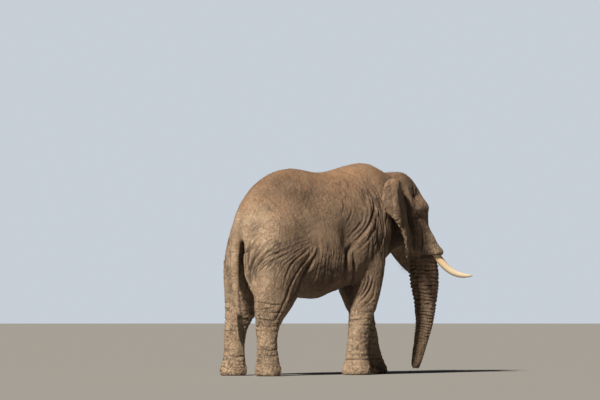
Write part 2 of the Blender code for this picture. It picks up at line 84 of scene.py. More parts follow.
def plug(bm, centre, radius):
    """A ball of flesh that closes a socket before the hide is melted together."""
    place = Matrix.Translation(centre) @ Matrix.Diagonal((radius, radius, radius, 1))
    bmesh.ops.create_uvsphere(bm, u_segments=20, v_segments=12, radius=1, matrix=place)


def solids(names):
    """The named nodes together, where they stand."""
    bm = bmesh.new()
    for name in names:
        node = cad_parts[name]
        piece = node.data.copy()
        piece.transform(node.matrix_world)
        bm.from_mesh(piece)
        bpy.data.meshes.remove(piece)
    return bm


def mesh_from(bm, name):
    mesh = bpy.data.meshes.new(name)
    bm.to_mesh(mesh)
    bm.free()
    return mesh


def stand(name, data):
    """A new object in the scene."""
    made = bpy.data.objects.new(name, data)
    bpy.context.scene.collection.objects.link(made)
    return made


def flesh_mesh():
    """All the flesh nodes in one mesh, their eye and tusk sockets closed."""
    bm = solids(FLESH)
    for side, sign in SIDES:
        low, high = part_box(f"eye_{side}")
        plug(bm, (Vector(low) + Vector(high)) / 2 - Vector((0.012, sign * 0.022, 0)), EYE_PLUG)
        x, y, z = TUSK_ROOT
        plug(bm, (WITHERS_X + x, sign * y, z), TUSK_PLUG)
    return mesh_from(bm, "flesh")


def remeshed(mesh, voxel):
    """The mesh melted into one closed surface of even quads."""
    holder = stand("melting", mesh)
    melt = holder.modifiers.new("Melt", "REMESH")
    melt.mode = "VOXEL"
    melt.voxel_size = voxel
    bpy.context.view_layer.update()
    graph = bpy.context.evaluated_depsgraph_get()
    made = bpy.data.meshes.new_from_object(holder.evaluated_get(graph))
    bpy.data.objects.remove(holder)
    return made


def points_of(mesh):
    flat = np.empty(len(mesh.vertices) * 3)
    mesh.vertices.foreach_get("co", flat)
    return flat.reshape(-1, 3)


def normals_of(mesh):
    flat = np.empty(len(mesh.vertices) * 3)
    mesh.vertex_normals.foreach_get("vector", flat)
    return flat.reshape(-1, 3)


def move_points(mesh, points):
    mesh.vertices.foreach_set("co", points.ravel())
    mesh.update()


class Neighbours:
    """Averages values over the points next to each point."""

    def __init__(self, mesh):
        edges = np.empty(len(mesh.edges) * 2, np.int32)
        mesh.edges.foreach_get("vertices", edges)
        edges = edges.reshape(-1, 2)
        self.count = len(mesh.vertices)
        self.here = np.concatenate([edges[:, 0], edges[:, 1]])
        self.there = np.concatenate([edges[:, 1], edges[:, 0]])
        self.degree = np.maximum(np.bincount(self.here, minlength=self.count), 1)

    def once(self, values):
        if values.ndim == 1:
            total = np.bincount(self.here, values[self.there], minlength=self.count)
            return total / self.degree
        return np.stack([self.once(values[:, k]) for k in range(values.shape[1])], axis=1)

    def relax(self, values, passes, pull=0.5):
        for _ in range(passes):
            step = self.once(values) - values
            values = values + (step * pull if np.isscalar(pull) else step * pull[:, None])
        return values


def ease(low, high, value):
    """0 below low, 1 above high, and a smooth rise between. low may be the higher."""
    t = np.clip((value - low) / (high - low), 0, 1)
    return t * t * (3 - 2 * t)


def hump(away, width):
    """1 where away is 0, and a smooth fall to 0 over about twice the width."""
    return np.exp(-((away / width) ** 2))


ear_solids = BVHTree.FromBMesh(solids(["ear_left", "ear_right"]))


def ear_share(spots):
    """1 on the ears and 0 off them, from how far each spot lies from the ears' solids."""
    share = np.zeros(len(spots))
    x, out, z = spots[:, 0] - WITHERS_X, np.abs(spots[:, 1]), spots[:, 2]
    close = (x > -0.25) & (x < 0.72) & (out > 0.33) & (z > 1.72) & (z < 3.18)
    for i in np.nonzero(close)[0]:
        far = ear_solids.find_nearest(Vector(spots[i]), 0.06)[3]
        share[i] = 0 if far is None else ease(0.045, 0.022, far)
    return share


def relaxed_form(mesh):
    """Irons out the facets, then gives back the bulk that the ironing took."""
    near = Neighbours(mesh)
    start = points_of(mesh)
    x, z = start[:, 0] - WITHERS_X, start[:, 2]
    tail_reach = np.where(z < 1.3, 0.26, 0.14)
    tail = ease(-2.44, -2.52, x) * ease(0.35, 0.45, z) * (np.abs(start[:, 1]) < tail_reach)
    pull = 0.5 * (1 - 0.80 * tail) * (1 - 0.90 * ear_share(start))
    ironed = near.relax(start, IRONING, pull)
    ironed = ironed + near.relax(start - ironed, GIVING_BACK, pull)
    move_points(mesh, ironed)
    return mesh


def without_crumbs(mesh):
    """Drops any small piece that the melting left apart from the hide."""
    bm = bmesh.new()
    bm.from_mesh(mesh)
    bm.verts.ensure_lookup_table()
    seen = np.zeros(len(bm.verts), bool)
    islands = []
    for start in bm.verts:
        if seen[start.index]:
            continue
        seen[start.index] = True
        island, queue = [start], [start]
        while queue:
            vert = queue.pop()
            for edge in vert.link_edges:
                other = edge.other_vert(vert)
                if not seen[other.index]:
                    seen[other.index] = True
                    island.append(other)
                    queue.append(other)
        islands.append(island)
    islands.sort(key=len)
    crumbs = [vert for island in islands[:-1] for vert in island]
    bmesh.ops.delete(bm, geom=crumbs, context="VERTS")
    bm.to_mesh(mesh)
    bm.free()
    return mesh


def split_where(mesh, chosen):
    """Halves the mesh size round the chosen points."""
    bm = bmesh.new()
    bm.from_mesh(mesh)
    bm.verts.ensure_lookup_table()
    edges = [e for e in bm.edges if chosen[e.verts[0].index] and chosen[e.verts[1].index]]
    bmesh.ops.subdivide_edges(bm, edges=edges, cuts=1, use_grid_fill=True)
    bm.to_mesh(mesh)
    bm.free()
    return mesh


def eye_middle(sign):
    low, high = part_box("eye_left" if sign > 0 else "eye_right")
    return (np.array(low) + np.array(high)) / 2


form = relaxed_form(without_crumbs(remeshed(flesh_mesh(), COARSE)))
hide_mesh = remeshed(form, FINE)
near = Neighbours(hide_mesh)
move_points(hide_mesh, near.relax(points_of(hide_mesh), 4))
at = points_of(hide_mesh)
split_where(hide_mesh, (at[:, 0] > WITHERS_X + 0.50) & (np.abs(at[:, 1]) < 0.42))
at = points_of(hide_mesh)
split_where(hide_mesh, (at[:, 2] > 0.004) & (at[:, 2] < 0.16) & (at[:, 0] < WITHERS_X + 0.90))
for reach in (0.11, 0.085):
    at = points_of(hide_mesh)
    close = [np.linalg.norm(at - eye_middle(sign), axis=1) < reach for _, sign in SIDES]
    split_where(hide_mesh, close[0] | close[1])

# ---------------------------------------------------------------- folds and wrinkles
# A bull's hide hangs loose: deep sagging folds at the shoulder, flank and thigh, rings on the
# trunk, and a net of fine creases all over. Each is carved into the mesh along its normals.


class Swells:
    """Smooth random swells in space, the same in every run."""

    def __init__(self, seed):
        dice = np.random.default_rng(seed)
        self.order = dice.permutation(1024)
        arrows = dice.normal(size=(1024, 3))
        self.arrows = arrows / np.linalg.norm(arrows, axis=1, keepdims=True)

    def pick(self, cell):
        x, y, z = (cell[:, k] & 1023 for k in range(3))
        return self.order[(self.order[(self.order[x] + y) & 1023] + z) & 1023]

    def at(self, points, size):
        """From about -1 to 1; size is the length of one swell, or one length per axis."""
        place = points / size
        cell = np.floor(place).astype(np.int64)
        part = place - cell
        soft = part**3 * (part * (part * 6 - 15) + 10)
        total = np.zeros(len(points))
        for corner in np.ndindex(2, 2, 2):
            arrow = self.arrows[self.pick(cell + corner)]
            slope = ((part - corner) * arrow).sum(axis=1)
            total += np.where(corner, soft, 1 - soft).prod(axis=1) * slope
        return total * 1.7


swells = [Swells(seed) for seed in range(11, 19)]

# --- the ears: a sheet that waves and crumples more and more toward its worn margin

EAR_MARGIN = (  # x, z along the edge, from its highest point round to its lowest
    (0.19, 3.07), (0.01, 3.07), (-0.10, 2.97), (-0.15, 2.77), (-0.11, 2.58), (0.06, 2.42),
    (0.18, 2.27), (0.26, 2.10), (0.31, 1.94), (0.37, 1.82), (0.46, 1.84),
)
on_ear = ear_share(points_of(hide_mesh))


def along_margin(x, z):
    """How far each spot is from the ear's edge as seen from the side."""
    edge = rounded(EAR_MARGIN, 160)
    gaps = np.hypot(x[:, None] - edge[None, :, 0], z[:, None] - edge[None, :, 1])
    return gaps.min(axis=1)


def rounded(line, count):
    """Evenly spaced points on a smooth curve through the line's points."""
    rows = np.array(line, float)
    padded = np.vstack([2 * rows[0] - rows[1], rows, 2 * rows[-1] - rows[-2]])
    along = np.linspace(0, len(rows) - 1, count)
    first = np.minimum(along.astype(int), len(rows) - 2)
    f = (along - first)[:, None]
    a, b, c, d = (padded[first + k] for k in range(4))
    bend = (2 * a - 5 * b + 4 * c - d) * f**2 + (3 * b - a - 3 * c + d) * f**3
    return 0.5 * (2 * b + (c - a) * f + bend)


def crumple_ears():
    """Moves both faces of each ear together, so that the sheet keeps its thickness."""
    spots = points_of(hide_mesh)
    thin = np.nonzero(on_ear > 0.02)[0]
    x, y, z = (spots[thin] - (WITHERS_X, 0, 0)).T
    inward = along_margin(x, z)
    flat = np.stack([x, np.sign(y) * 3.0, z], axis=1)
    free = ease(0.40, 0.47, np.abs(y)) * on_ear[thin]
    wave = 0.022 * swells[0].at(flat, 0.26) * ease(0.55, 0.15, inward)
    lower = ease(2.66, 2.44, z)
    crimp = (0.010 + 0.020 * lower) * hump(inward, 0.11)
    crimp *= swells[1].at(flat, (0.085, 1.0, 0.075))
    crimp += (0.004 + 0.006 * lower) * swells[2].at(flat, 0.034) * hump(inward, 0.07)
    pleat = 0.010 * swells[3].at(flat, (0.07, 1.0, 0.42)) * ease(0.60, 0.30, inward)
    out = free * (wave + crimp + pleat)
    spots[thin, 1] += np.sign(y) * 0.86 * out
    spots[thin, 0] -= 0.50 * out
    nick = free * 0.012 * swells[4].at(flat, (0.05, 1.0, 0.05)) * hump(inward, 0.03) * lower
    spots[thin, 0] += nick
    move_points(hide_mesh, spots)


crumple_ears()

# --- the lids: two thick wrinkled rims that close on the eyeball from above and below

GAZE = {sign: Vector((0.42, sign * 0.90, -0.06)).normalized() for _, sign in SIDES}
LID_BALL = 0.0268  # radius of the ball that the lids close on
LID_REACH = 0.066  # how far round the eye the hide is drawn
SLIT_LONG, SLIT_OVER, SLIT_UNDER = 0.0195, 0.0095, 0.0105  # from its middle
LID_FOLDS = ((1.75, 0.0022), (2.30, 0.0030), (2.95, 0.0026), (3.60, 0.0020))  # where, how deep
lid_dark = np.zeros(len(on_ear))


def eye_axes(sign):
    """Out of the eye, along its slit toward the trunk, and across the slit upward."""
    gaze = np.array(GAZE[sign])
    forward = np.cross((0, 0, 1), gaze) * -sign
    forward /= np.linalg.norm(forward)
    upward = np.cross(gaze, forward) * -sign
    upward *= np.sign(upward[2])
    slant = math.radians(14)
    level = math.cos(slant) * forward - math.sin(slant) * upward
    return gaze, level, math.cos(slant) * upward + math.sin(slant) * forward


def shape_lids(sign):
    """Draws the hide round one eye onto a ball a little larger than it, and opens a slit."""
    spots = points_of(hide_mesh)
    off = spots - eye_middle(sign)
    gaze, level, over = eye_axes(sign)
    a, b, h = off @ level, off @ over, off @ gaze
    across = np.hypot(a, b)
    near_eye = np.nonzero((across < LID_REACH) & (h > -0.030) & (h < 0.075))[0]
    a, b, h, across = a[near_eye], b[near_eye], h[near_eye], across[near_eye]
    slit = np.hypot(a / SLIT_LONG, np.where(b > 0, b / SLIT_OVER, b / SLIT_UNDER))
    ball = np.sqrt(np.maximum(LID_BALL**2 - across**2, 0.0))
    well = np.sqrt(np.maximum(0.0170**2 - across**2, 0.0))
    roof = ball + 0.0022 * hump(slit - 1.25, 0.22)
    for ring, deep in LID_FOLDS:
        drift = 0.16 * swells[5].at(spots[near_eye], 0.018)
        roof = roof - deep * hump(slit - ring + drift, 0.13)
    brow = 0.006 * hump(b - 0.034, 0.010) * ease(0.05, 0.02, np.abs(a))
    soft = ease(0.90, 1.06, slit)
    target = well * (1 - soft) + roof * soft
    keep = ease(0.022, 0.056, across)
    made = target * (1 - keep) + (h + brow) * keep
    facing = ease(0.0, 0.25, normals_of(hide_mesh)[near_eye] @ gaze)
    spots[near_eye] += ((made - h) * facing)[:, None] * gaze
    move_points(hide_mesh, spots)
    lid_dark[near_eye] = np.maximum(lid_dark[near_eye], ease(1.9, 1.0, slit) * facing)


for _, sign in SIDES:
    shape_lids(sign)

points = points_of(hide_mesh) - (WITHERS_X, 0, 0)
normals = normals_of(hide_mesh)
X, Y, Z = points.T
OUT = np.abs(Y)
rise = np.zeros(len(points))  # how far each point moves out along its normal
painted_shade_and_dirt = np.zeros(len(points))  # 1 in the bottom of a crease, painted dark as dirt and as the shade that lies there


def carve(chosen, depth, shape, dirt=1.0):
    """Sinks the chosen points by depth where shape is 1, and marks them as creased, to be painted
    dark as dirt and shade.
    """
    rise[chosen] -= depth * shape
    painted_shade_and_dirt[chosen] = np.maximum(painted_shade_and_dirt[chosen], np.clip(shape * dirt, 0, 1))


def net(chosen, seed, gap, run, tilt, width=0.20):
    """Strength from 0 to 1 of wandering creases, gap apart, run long, tilt degrees off upright.

    On the sides they lie in X and Z, and at the back and front in Y and Z.
    """
    place = points[chosen]
    n = np.abs(normals[chosen])
    drift = 0.35 * gap * swells[seed].at(place + 3.1, gap * 3.0)
    c, s = math.cos(math.radians(tilt)), math.sin(math.radians(tilt))
    strength = np.zeros(len(place))
    weights = n**3 / (n**3).sum(axis=1, keepdims=True)
    for axis, share in ((0, weights[:, 1] + 0.7 * weights[:, 2]), (1, weights[:, 0])):
        along, up = place[:, axis], place[:, 2]
        across = along * c + up * s + drift
        down = -along * s + up * c
        flat = np.stack([across / gap, down / run, place[:, 1 - axis] * 2.2 / run], axis=1)
        field = swells[seed].at(flat, 1.0)
        strength += share * hump(field, width)
    return strength


def chosen_where(mask):
    return np.nonzero(mask > 0.02)[0]


def box_mask(x=(-9, 9), y=(0, 9), z=(-9, 9), soft=0.12):
    """1 inside the box, falling off softly outside it. y is the distance from the midline."""
    mask = np.ones(len(points))
    for value, (low, high) in ((X, x), (OUT, y), (Z, z)):
        mask *= ease(low - soft, low + soft, value) * ease(high + soft, high - soft, value)
    return mask


def from_line(stations):
    """Distance of every point, level by level, from an upright line of (z, x, y, ...) rows."""
    rows = np.array(sorted(stations))
    x = np.interp(Z, rows[:, 0], rows[:, 1])
    y = np.interp(Z, rows[:, 0], rows[:, 2])
    return X - x, Y - y


# --- bulk: the big swells of muscle and slack that light falls across

BULGES = (  # spot on either side, reach in x, y, z, and how far out
    ((-0.82, 0.70, 1.98), (0.30, 0.34, 0.46), -0.085),
    ((-1.46, 0.66, 1.78), (0.18, 0.25, 0.36), 0.030),
    ((-1.30, 0.66, 2.72), (0.36, 0.30, 0.16), -0.022),
    ((-0.42, 0.66, 2.30), (0.20, 0.30, 0.60), 0.022),
    ((-2.02, 0.60, 2.42), (0.34, 0.34, 0.30), 0.020),
    ((0.30, 0.45, 2.45), (0.16, 0.30, 0.45), -0.030),
    ((0.90, 0.32, 2.65), (0.11, 0.14, 0.075), 0.034),
    ((0.86, 0.30, 2.82), (0.11, 0.12, 0.070), -0.030),
    ((0.84, 0.34, 2.46), (0.13, 0.12, 0.10), -0.030),
    ((1.04, 0.24, 2.30), (0.14, 0.12, 0.16), -0.020),
    ((1.31, 0.35, 1.95), (0.15, 0.13, 0.11), 0.036),
    ((-0.95, 0.74, 2.16), (0.24, 0.34, 0.36), -0.062),
    ((0.27, 0.46, 2.20), (0.15, 0.30, 0.32), -0.062),
    ((-2.42, 0.24, 1.66), (0.20, 0.22, 0.36), 0.042),
)
for spot, reach, out in BULGES:
    for _, sign in SIDES:
        off = (points - (spot[0], sign * spot[1], spot[2])) / reach
        rise += out * np.exp(-1.6 * (off**2).sum(axis=1))

# --- the net of fine creases over the whole hide

ear_zone = on_ear * ease(0.36, 0.42, OUT)
head_zone = ease(0.55, 0.70, X) * ease(1.5, 1.7, Z)
tail_zone = ease(-2.46, -2.54, X) * (OUT < np.where(Z < 1.3, 0.26, 0.15)) * ease(0.5, 0.6, Z)
limb_zone = ease(1.55, 1.05, Z) * (X < 0.95)
body_zone = (1 - ear_zone) * (1 - head_zone) * (1 - tail_zone) * (X < 0.95)

everywhere = chosen_where(body_zone)
weight = body_zone[everywhere]
patchy = 0.65 + 0.5 * swells[5].at(points[everywhere], 0.55)
for depth, share, ways in (
    (0.0048, patchy, (0, 0.040, 0.26, 40, 0.15)),
    (0.0044, patchy, (1, 0.038, 0.22, -48, 0.15)),
    (0.0050, 1.3 - patchy, (2, 0.075, 0.60, 14, 0.13)),
):
    carve(everywhere, depth, weight * share * net(everywhere, *ways), 0.75)
painted_shade_and_dirt *= 1 - 0.45 * limb_zone  # dust fills the fine net on the legs
rise[everywhere] += 0.003 * weight * swells[3].at(points[everywhere], 0.05)
rise += 0.006 * swells[4].at(points, 0.22) * (1 - ear_zone)

# --- long upright folds where the shoulder and neck hide hangs

mask = box_mask(x=(-0.55, 0.36), y=(0.20, 0.9), z=(1.75, 2.95), soft=0.16)
neck = chosen_where(mask * (1 - ear_zone))
weight = mask[neck]
carve(neck, 0.013, weight * net(neck, 6, 0.095, 1.10, 7, 0.14))
carve(neck, 0.008, weight * net(neck, 7, 0.050, 0.70, 2, 0.17))

# --- upright pleats on the side of the belly

mask = box_mask(x=(-1.72, -0.75), y=(0.30, 0.9), z=(1.35, 2.10), soft=0.14)
belly = chosen_where(mask)
carve(belly, 0.0065, mask[belly] * net(belly, 4, 0.040, 0.50, -4, 0.18))

# --- folds that fan over the thigh from the pit of the flank and sag down its back

PIT = (-1.50, 2.20)
reach = np.hypot(X - PIT[0], Z - PIT[1])
dip = np.arctan2(PIT[1] - Z, PIT[0] - X)  # 0 straight back from the pit, a quarter turn down
mask = ease(0.06, 0.22, reach) * ease(1.35, 1.05, reach)
mask *= ease(-0.30, 0.0, dip) * ease(1.75, 1.45, dip)
mask *= ease(0.10, 0.30, OUT) * ease(0.98, 1.15, Z) * (1 - tail_zone) * (X > -2.6)
thigh = chosen_where(mask)
place = points[thigh]
for count, depth, seed in ((11.0, 0.0045, 2), (19.0, 0.007, 6)):
    bent = dip[thigh] - 0.75 * reach[thigh] + 0.12 * swells[seed].at(place, 0.50)
    phase = bent * count + 0.30 * swells[1].at(place, 0.13) + 0.15 * swells[4].at(place, 0.05)
    groove = 1 - np.abs(np.sin(math.pi * phase)) ** 0.70
    uneven = np.clip(0.60 + 1.0 * swells[seed + 1].at(place, (0.30, 0.30, 0.20)), 0.05, 1.4)
    carve(thigh, depth, mask[thigh] * uneven * groove)

# --- named folds, drawn over the hide as a keeper would point them out

surface = BVHTree.FromPolygons(
    [tuple(p) for p in points], [tuple(f.vertices) for f in hide_mesh.polygons]
)
TURNED = math.radians(40)  # the quarter views stand this far behind square on
VIEWS = {  # across the view, and from the hide back toward the eye
    "right": ((1, 0, 0), (0, -1, 0)),
    "left": ((1, 0, 0), (0, 1, 0)),
    "behind": ((0, 1, 0), (-1, 0, 0)),
    "right quarter": (
        (math.cos(TURNED), -math.sin(TURNED), 0),
        (-math.sin(TURNED), -math.cos(TURNED), 0),
    ),
    "left quarter": (
        (math.cos(TURNED), math.sin(TURNED), 0),
        (-math.sin(TURNED), math.cos(TURNED), 0),
    ),
}


def fold(line, depth, width, seen_from, lip):
    """Carves one fold along a line drawn on the hide as it is seen from one direction.

    Each point of the line is how far across the view and how high it is. A lip bulges over
    the fold on the side to the left of the line's direction. A depth below 0 raises a ridge.
    """
    across_view, back = (Vector(way) for way in VIEWS[seen_from])
    laid = []
    for a, z in rounded(line, 12 * len(line)):
        start = across_view * a + Vector((0, 0, z)) + back * 6
        spot, normal, _, _ = surface.ray_cast(start, -back)
        if spot is not None:
            laid.append((*spot, *normal))
    if len(laid) < 3:
        return
    laid = np.array(laid)
    path, facing = laid[:, :3], laid[:, 3:]
    ahead = np.gradient(path, axis=0)
    ahead /= np.linalg.norm(ahead, axis=1, keepdims=True) + 1e-9
    beside = np.cross(facing, ahead)
    reach = 4.5 * width
    low, high = path.min(axis=0) - reach, path.max(axis=0) + reach
    chosen = np.nonzero(((points > low) & (points < high)).all(axis=1))[0]
    if not len(chosen):
        return
    gap = points[chosen][:, None, :] - path[None, :, :]
    far = np.linalg.norm(gap, axis=2)
    nearest = far.argmin(axis=1)
    away = far[np.arange(len(chosen)), nearest]
    offset = gap[np.arange(len(chosen)), nearest]
    side = (offset * beside[nearest]).sum(axis=1)
    end = np.sin(math.pi * (nearest + 0.5) / len(path)) ** 0.6
    wander = 0.25 * width * swells[3].at(points[chosen], 0.12)
    facing_same = (normals[chosen] * facing[nearest]).sum(axis=1) > -0.2
    groove = hump(away + wander, width) * end * facing_same
    carve(chosen, depth, groove, 1.0 if depth > 0 else 0.0)
    if lip:
        swell = hump(side - 1.7 * width, 1.1 * width) * (away < reach)
        rise[chosen] += lip * swell * end * facing_same


def both(line, depth, width, lip, view=""):
    """The same fold on both sides of the body, not quite alike."""
    fold(line, depth, width, "right" + view, lip)
    shifted = [(x + 0.03 * math.sin(9 * z), z + 0.03 * math.cos(7 * x)) for x, z in line]
    fold(shifted[::-1], depth * 0.9, width, "left" + view, lip)


QUARTER_FOLDS = (  # depth, width, lip, then the line, seen from behind the shoulder
    # shoulder: the long S-shaped fold behind the ear, and its companions
    (0.046, 0.027, 0.016, (0.07, 2.88), (0.15, 2.73), (0.15, 2.57), (0.07, 2.35), (-0.10, 2.06)),
    (0.022, 0.020, 0.008, (0.17, 2.49), (0.16, 2.29), (0.04, 2.08), (-0.10, 1.89)),
    (0.014, 0.018, 0.005, (-0.02, 2.61), (-0.03, 2.42), (-0.12, 2.25), (-0.19, 2.11)),
    (0.013, 0.016, 0.005, (0.03, 2.66), (0.04, 2.46), (-0.03, 2.28), (-0.15, 2.10)),
    (0.011, 0.017, 0.004, (-0.19, 2.66), (-0.21, 2.49), (-0.26, 2.35)),
    (0.009, 0.016, 0.004, (-0.34, 2.75), (-0.33, 2.61), (-0.38, 2.42)),
    (0.015, 0.020, 0.006, (0.29, 2.49), (0.31, 2.29), (0.28, 2.08), (0.22, 1.91)),
    (0.014, 0.018, 0.005, (0.21, 2.39), (0.21, 2.18), (0.15, 1.98), (0.12, 1.84)),
    # elbow: the deep hollow line behind the foreleg
    (0.066, 0.046, 0.000, (-0.10, 2.04), (-0.19, 1.89), (-0.24, 1.74), (-0.26, 1.60)),
    # flank: the crease between belly and thigh, and the folds that leave its pit
    (0.038, 0.030, 0.010, (-0.74, 2.09), (-0.75, 1.90), (-0.84, 1.73),
        (-0.96, 1.53), (-1.04, 1.32), (-1.15, 1.15)),
    (0.022, 0.020, 0.008, (-0.75, 2.05), (-0.87, 1.84), (-1.01, 1.65),
        (-1.13, 1.44), (-1.20, 1.22), (-1.28, 1.01)),
    (0.018, 0.018, 0.007, (-0.77, 2.06), (-0.94, 1.90), (-1.13, 1.72),
        (-1.22, 1.53), (-1.28, 1.25)),
    (0.010, 0.014, 0.004, (-0.76, 2.09), (-1.01, 1.94), (-1.28, 1.75), (-1.42, 1.59)),
    (0.008, 0.013, 0.003, (-0.79, 2.11), (-1.08, 2.01), (-1.39, 1.86),
        (-1.58, 1.72), (-1.64, 1.59)),
    (0.009, 0.013, 0.003, (-1.04, 2.08), (-1.35, 1.96), (-1.58, 1.84), (-1.71, 1.67)),
    (0.020, 0.018, 0.006, (-1.15, 1.39), (-1.22, 1.22), (-1.32, 0.98), (-1.39, 0.84)),
    (0.009, 0.012, 0.003, (-0.77, 2.08), (-1.04, 1.97), (-1.32, 1.81),
        (-1.50, 1.66), (-1.56, 1.50)),
    (0.009, 0.012, 0.003, (-0.80, 2.02), (-1.06, 1.86), (-1.26, 1.68),
        (-1.36, 1.50), (-1.40, 1.32)),
    (0.007, 0.012, 0.003, (-0.90, 2.12), (-1.20, 2.06), (-1.48, 1.93), (-1.66, 1.78)),
    # ham: crescents that sag down the back of the thigh
    (0.052, 0.024, 0.014, (-1.49, 2.01), (-1.65, 1.87), (-1.73, 1.73),
        (-1.77, 1.59), (-1.77, 1.44), (-1.71, 1.22)),
    (0.034, 0.018, 0.010, (-1.44, 1.94), (-1.58, 1.81), (-1.66, 1.66),
        (-1.69, 1.50), (-1.66, 1.32)),
    (0.030, 0.018, 0.010, (-1.28, 1.92), (-1.52, 1.82), (-1.68, 1.68),
        (-1.73, 1.53), (-1.75, 1.39)),
    (0.017, 0.015, 0.006, (-1.15, 1.87), (-1.42, 1.77), (-1.59, 1.65), (-1.69, 1.49)),
    (0.014, 0.015, 0.005, (-1.04, 1.99), (-1.32, 1.89), (-1.52, 1.80)),
    (0.040, 0.014, 0.006, (-1.76, 2.06), (-1.79, 1.96), (-1.84, 1.89), (-1.89, 1.91)),
    # belly: slack upright pleats in front of the flank
    (0.014, 0.014, 0.006, (-0.70, 1.94), (-0.74, 1.70), (-0.77, 1.49)),
    (0.012, 0.013, 0.005, (-0.60, 1.90), (-0.62, 1.70), (-0.63, 1.53)),
    (0.010, 0.013, 0.004, (-0.52, 2.05), (-0.52, 1.80), (-0.54, 1.60)),
    # above the hock
    (0.014, 0.012, 0.005, (-1.73, 1.13), (-1.56, 1.12), (-1.44, 1.10), (-1.32, 1.09)),
    (0.010, 0.011, 0.004, (-1.71, 1.01), (-1.56, 1.03), (-1.39, 1.05)),
    (0.012, 0.012, 0.004, (-1.70, 0.88), (-1.52, 0.86), (-1.39, 0.84)),
    # forearm: crescents that hang inside the bend of the foreleg
    (0.046, 0.032, 0.000, (-0.11, 1.92), (-0.12, 1.73), (-0.16, 1.53), (-0.22, 1.36)),
    (0.036, 0.018, 0.014, (0.07, 1.58), (0.06, 1.44), (-0.02, 1.29), (-0.13, 1.18)),
    (0.028, 0.017, 0.010, (0.13, 1.53), (0.10, 1.37), (0.02, 1.24), (-0.10, 1.10)),
    (0.028, 0.016, 0.009, (0.02, 1.56), (0.00, 1.44), (-0.07, 1.30), (-0.14, 1.22)),
    (0.015, 0.015, 0.006, (0.17, 1.46), (0.14, 1.25), (0.04, 1.12), (-0.09, 1.01)),
    # head: under the brow, down the cheek behind the sheath, and the ridge of the trunk
    (0.020, 0.013, 0.006, (0.78, 2.51), (0.84, 2.47), (0.91, 2.49), (0.95, 2.54)),
    (0.030, 0.024, 0.008, (0.82, 2.17), (0.81, 2.05), (0.81, 1.88)),
    (-0.022, 0.012, 0.000, (0.86, 1.82), (0.89, 1.71), (0.90, 1.50), (0.90, 1.20)),
)
for depth, width, lip, *line in QUARTER_FOLDS:
    both(line, depth, width, lip, " quarter")

# --- seen from behind: the cleft under the tail and the crescents down the hams

HAM_CRESCENTS = (  # how far out, top, bottom, depth
    (0.105, 2.16, 1.30, 0.030), (0.165, 2.06, 1.36, 0.024),
    (0.235, 2.12, 1.44, 0.020), (0.31, 2.02, 1.50, 0.016),
)
for sign in (-1, 1):
    for inset, top, bottom, depth in HAM_CRESCENTS:
        middle = (top + bottom) / 2
        line = [
            (sign * (inset + 0.10), top),
            (sign * (inset + 0.025), middle + 0.16),
            (sign * inset, middle - 0.10),
            (sign * (inset + 0.06), bottom),
        ]
        fold(line, depth, 0.018, "behind", 0.008)
cleft = hump(OUT, 0.055) * ease(-2.10, -2.25, X) * (X > -2.55)
cleft *= ease(2.14, 2.02, Z) * ease(1.0, 1.2, Z) * (1 - tail_zone)
cleft *= ease(-0.1, -0.4, normals[:, 0])
carve(chosen_where(cleft), 0.07, cleft[chosen_where(cleft)])

# --- the tail: level wrinkles, closer toward its end

tail = chosen_where(tail_zone)
place = points[tail]
phase = Z[tail] / 0.046 + 0.35 * swells[1].at(place, 0.10) + 0.8 * swells[2].at(place, 0.30)
uneven = np.clip(0.6 + 0.9 * swells[6].at(place, (0.12, 0.12, 0.09)), 0.1, 1.3)
carve(tail, 0.0075, tail_zone[tail] * uneven * (1 - np.abs(np.sin(math.pi * phase)) ** 0.6))

# --- legs: level creases at wrist, ankle and above the foot

legs = chosen_where(limb_zone)
weight = limb_zone[legs] * (0.7 + 0.5 * swells[7].at(points[legs], 0.3))
carve(legs, 0.007, weight * net(legs, 3, 0.34, 0.050, 4, 0.22))
LEVEL_CREASES = (  # height, depth
    (0.98, 0.010), (0.86, 0.014), (0.76, 0.016), (0.69, 0.010),
    (0.40, 0.010), (0.31, 0.014), (0.24, 0.010),
)
for height, depth in LEVEL_CREASES:
    wavy = Z + 0.020 * swells[2].at(points, 0.22) + 0.012 * swells[5].at(points, 0.08) - height
    shape = hump(wavy, 0.012) * limb_zone
    shape *= np.clip(0.55 + 0.9 * swells[6].at(points + height * 7, 0.30), 0, 1)
    where = chosen_where(shape)
    carve(where, depth, shape[where])
rise += 0.005 * ease(0.16, 0.10, Z) * ease(0.0, 0.05, Z) * (X < 1.0)

# --- the feet: a raised rim of hide stands round each toenail

NAILS = [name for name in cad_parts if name.startswith("nail_")]
NAIL_HALF = (0.060, 0.054)  # width and height, each halved


def nail_axes(name):
    """The middle of a toenail, the level way out of the foot there, and the way across it."""
    foot = name.split("_")[1] + "foot_" + name.split("_")[2]
    middle, inside = (
        sum((np.array(c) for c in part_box(node)), np.zeros(3)) / 2 for node in (name, foot)
    )
    ahead = (middle - inside) * (1, 1, 0)
    ahead /= np.linalg.norm(ahead)
    return middle - (WITHERS_X, 0, 0), ahead, np.array((-ahead[1], ahead[0], 0))


for name in NAILS:
    middle, ahead, beside = nail_axes(name)
    off = points - middle
    chosen = np.nonzero((np.linalg.norm(off, axis=1) < 0.16) & (off @ ahead > -0.05))[0]
    off = off[chosen]
    ring = np.hypot(off @ beside / NAIL_HALF[0], off[:, 2] / NAIL_HALF[1])
    ring += 0.05 * swells[5].at(points[chosen], 0.03)
    upper = ease(-0.060, -0.030, off[:, 2])
    rise[chosen] += 0.008 * hump(ring - 1.24, 0.26) * upper
    rise[chosen] -= 0.010 * ease(1.02, 0.86, ring)
    painted_shade_and_dirt[chosen] = np.maximum(painted_shade_and_dirt[chosen], 0.9 * hump(ring - 0.97, 0.10))

# --- the trunk: rings, closer toward its tip, a flat back and a ridge either side of it

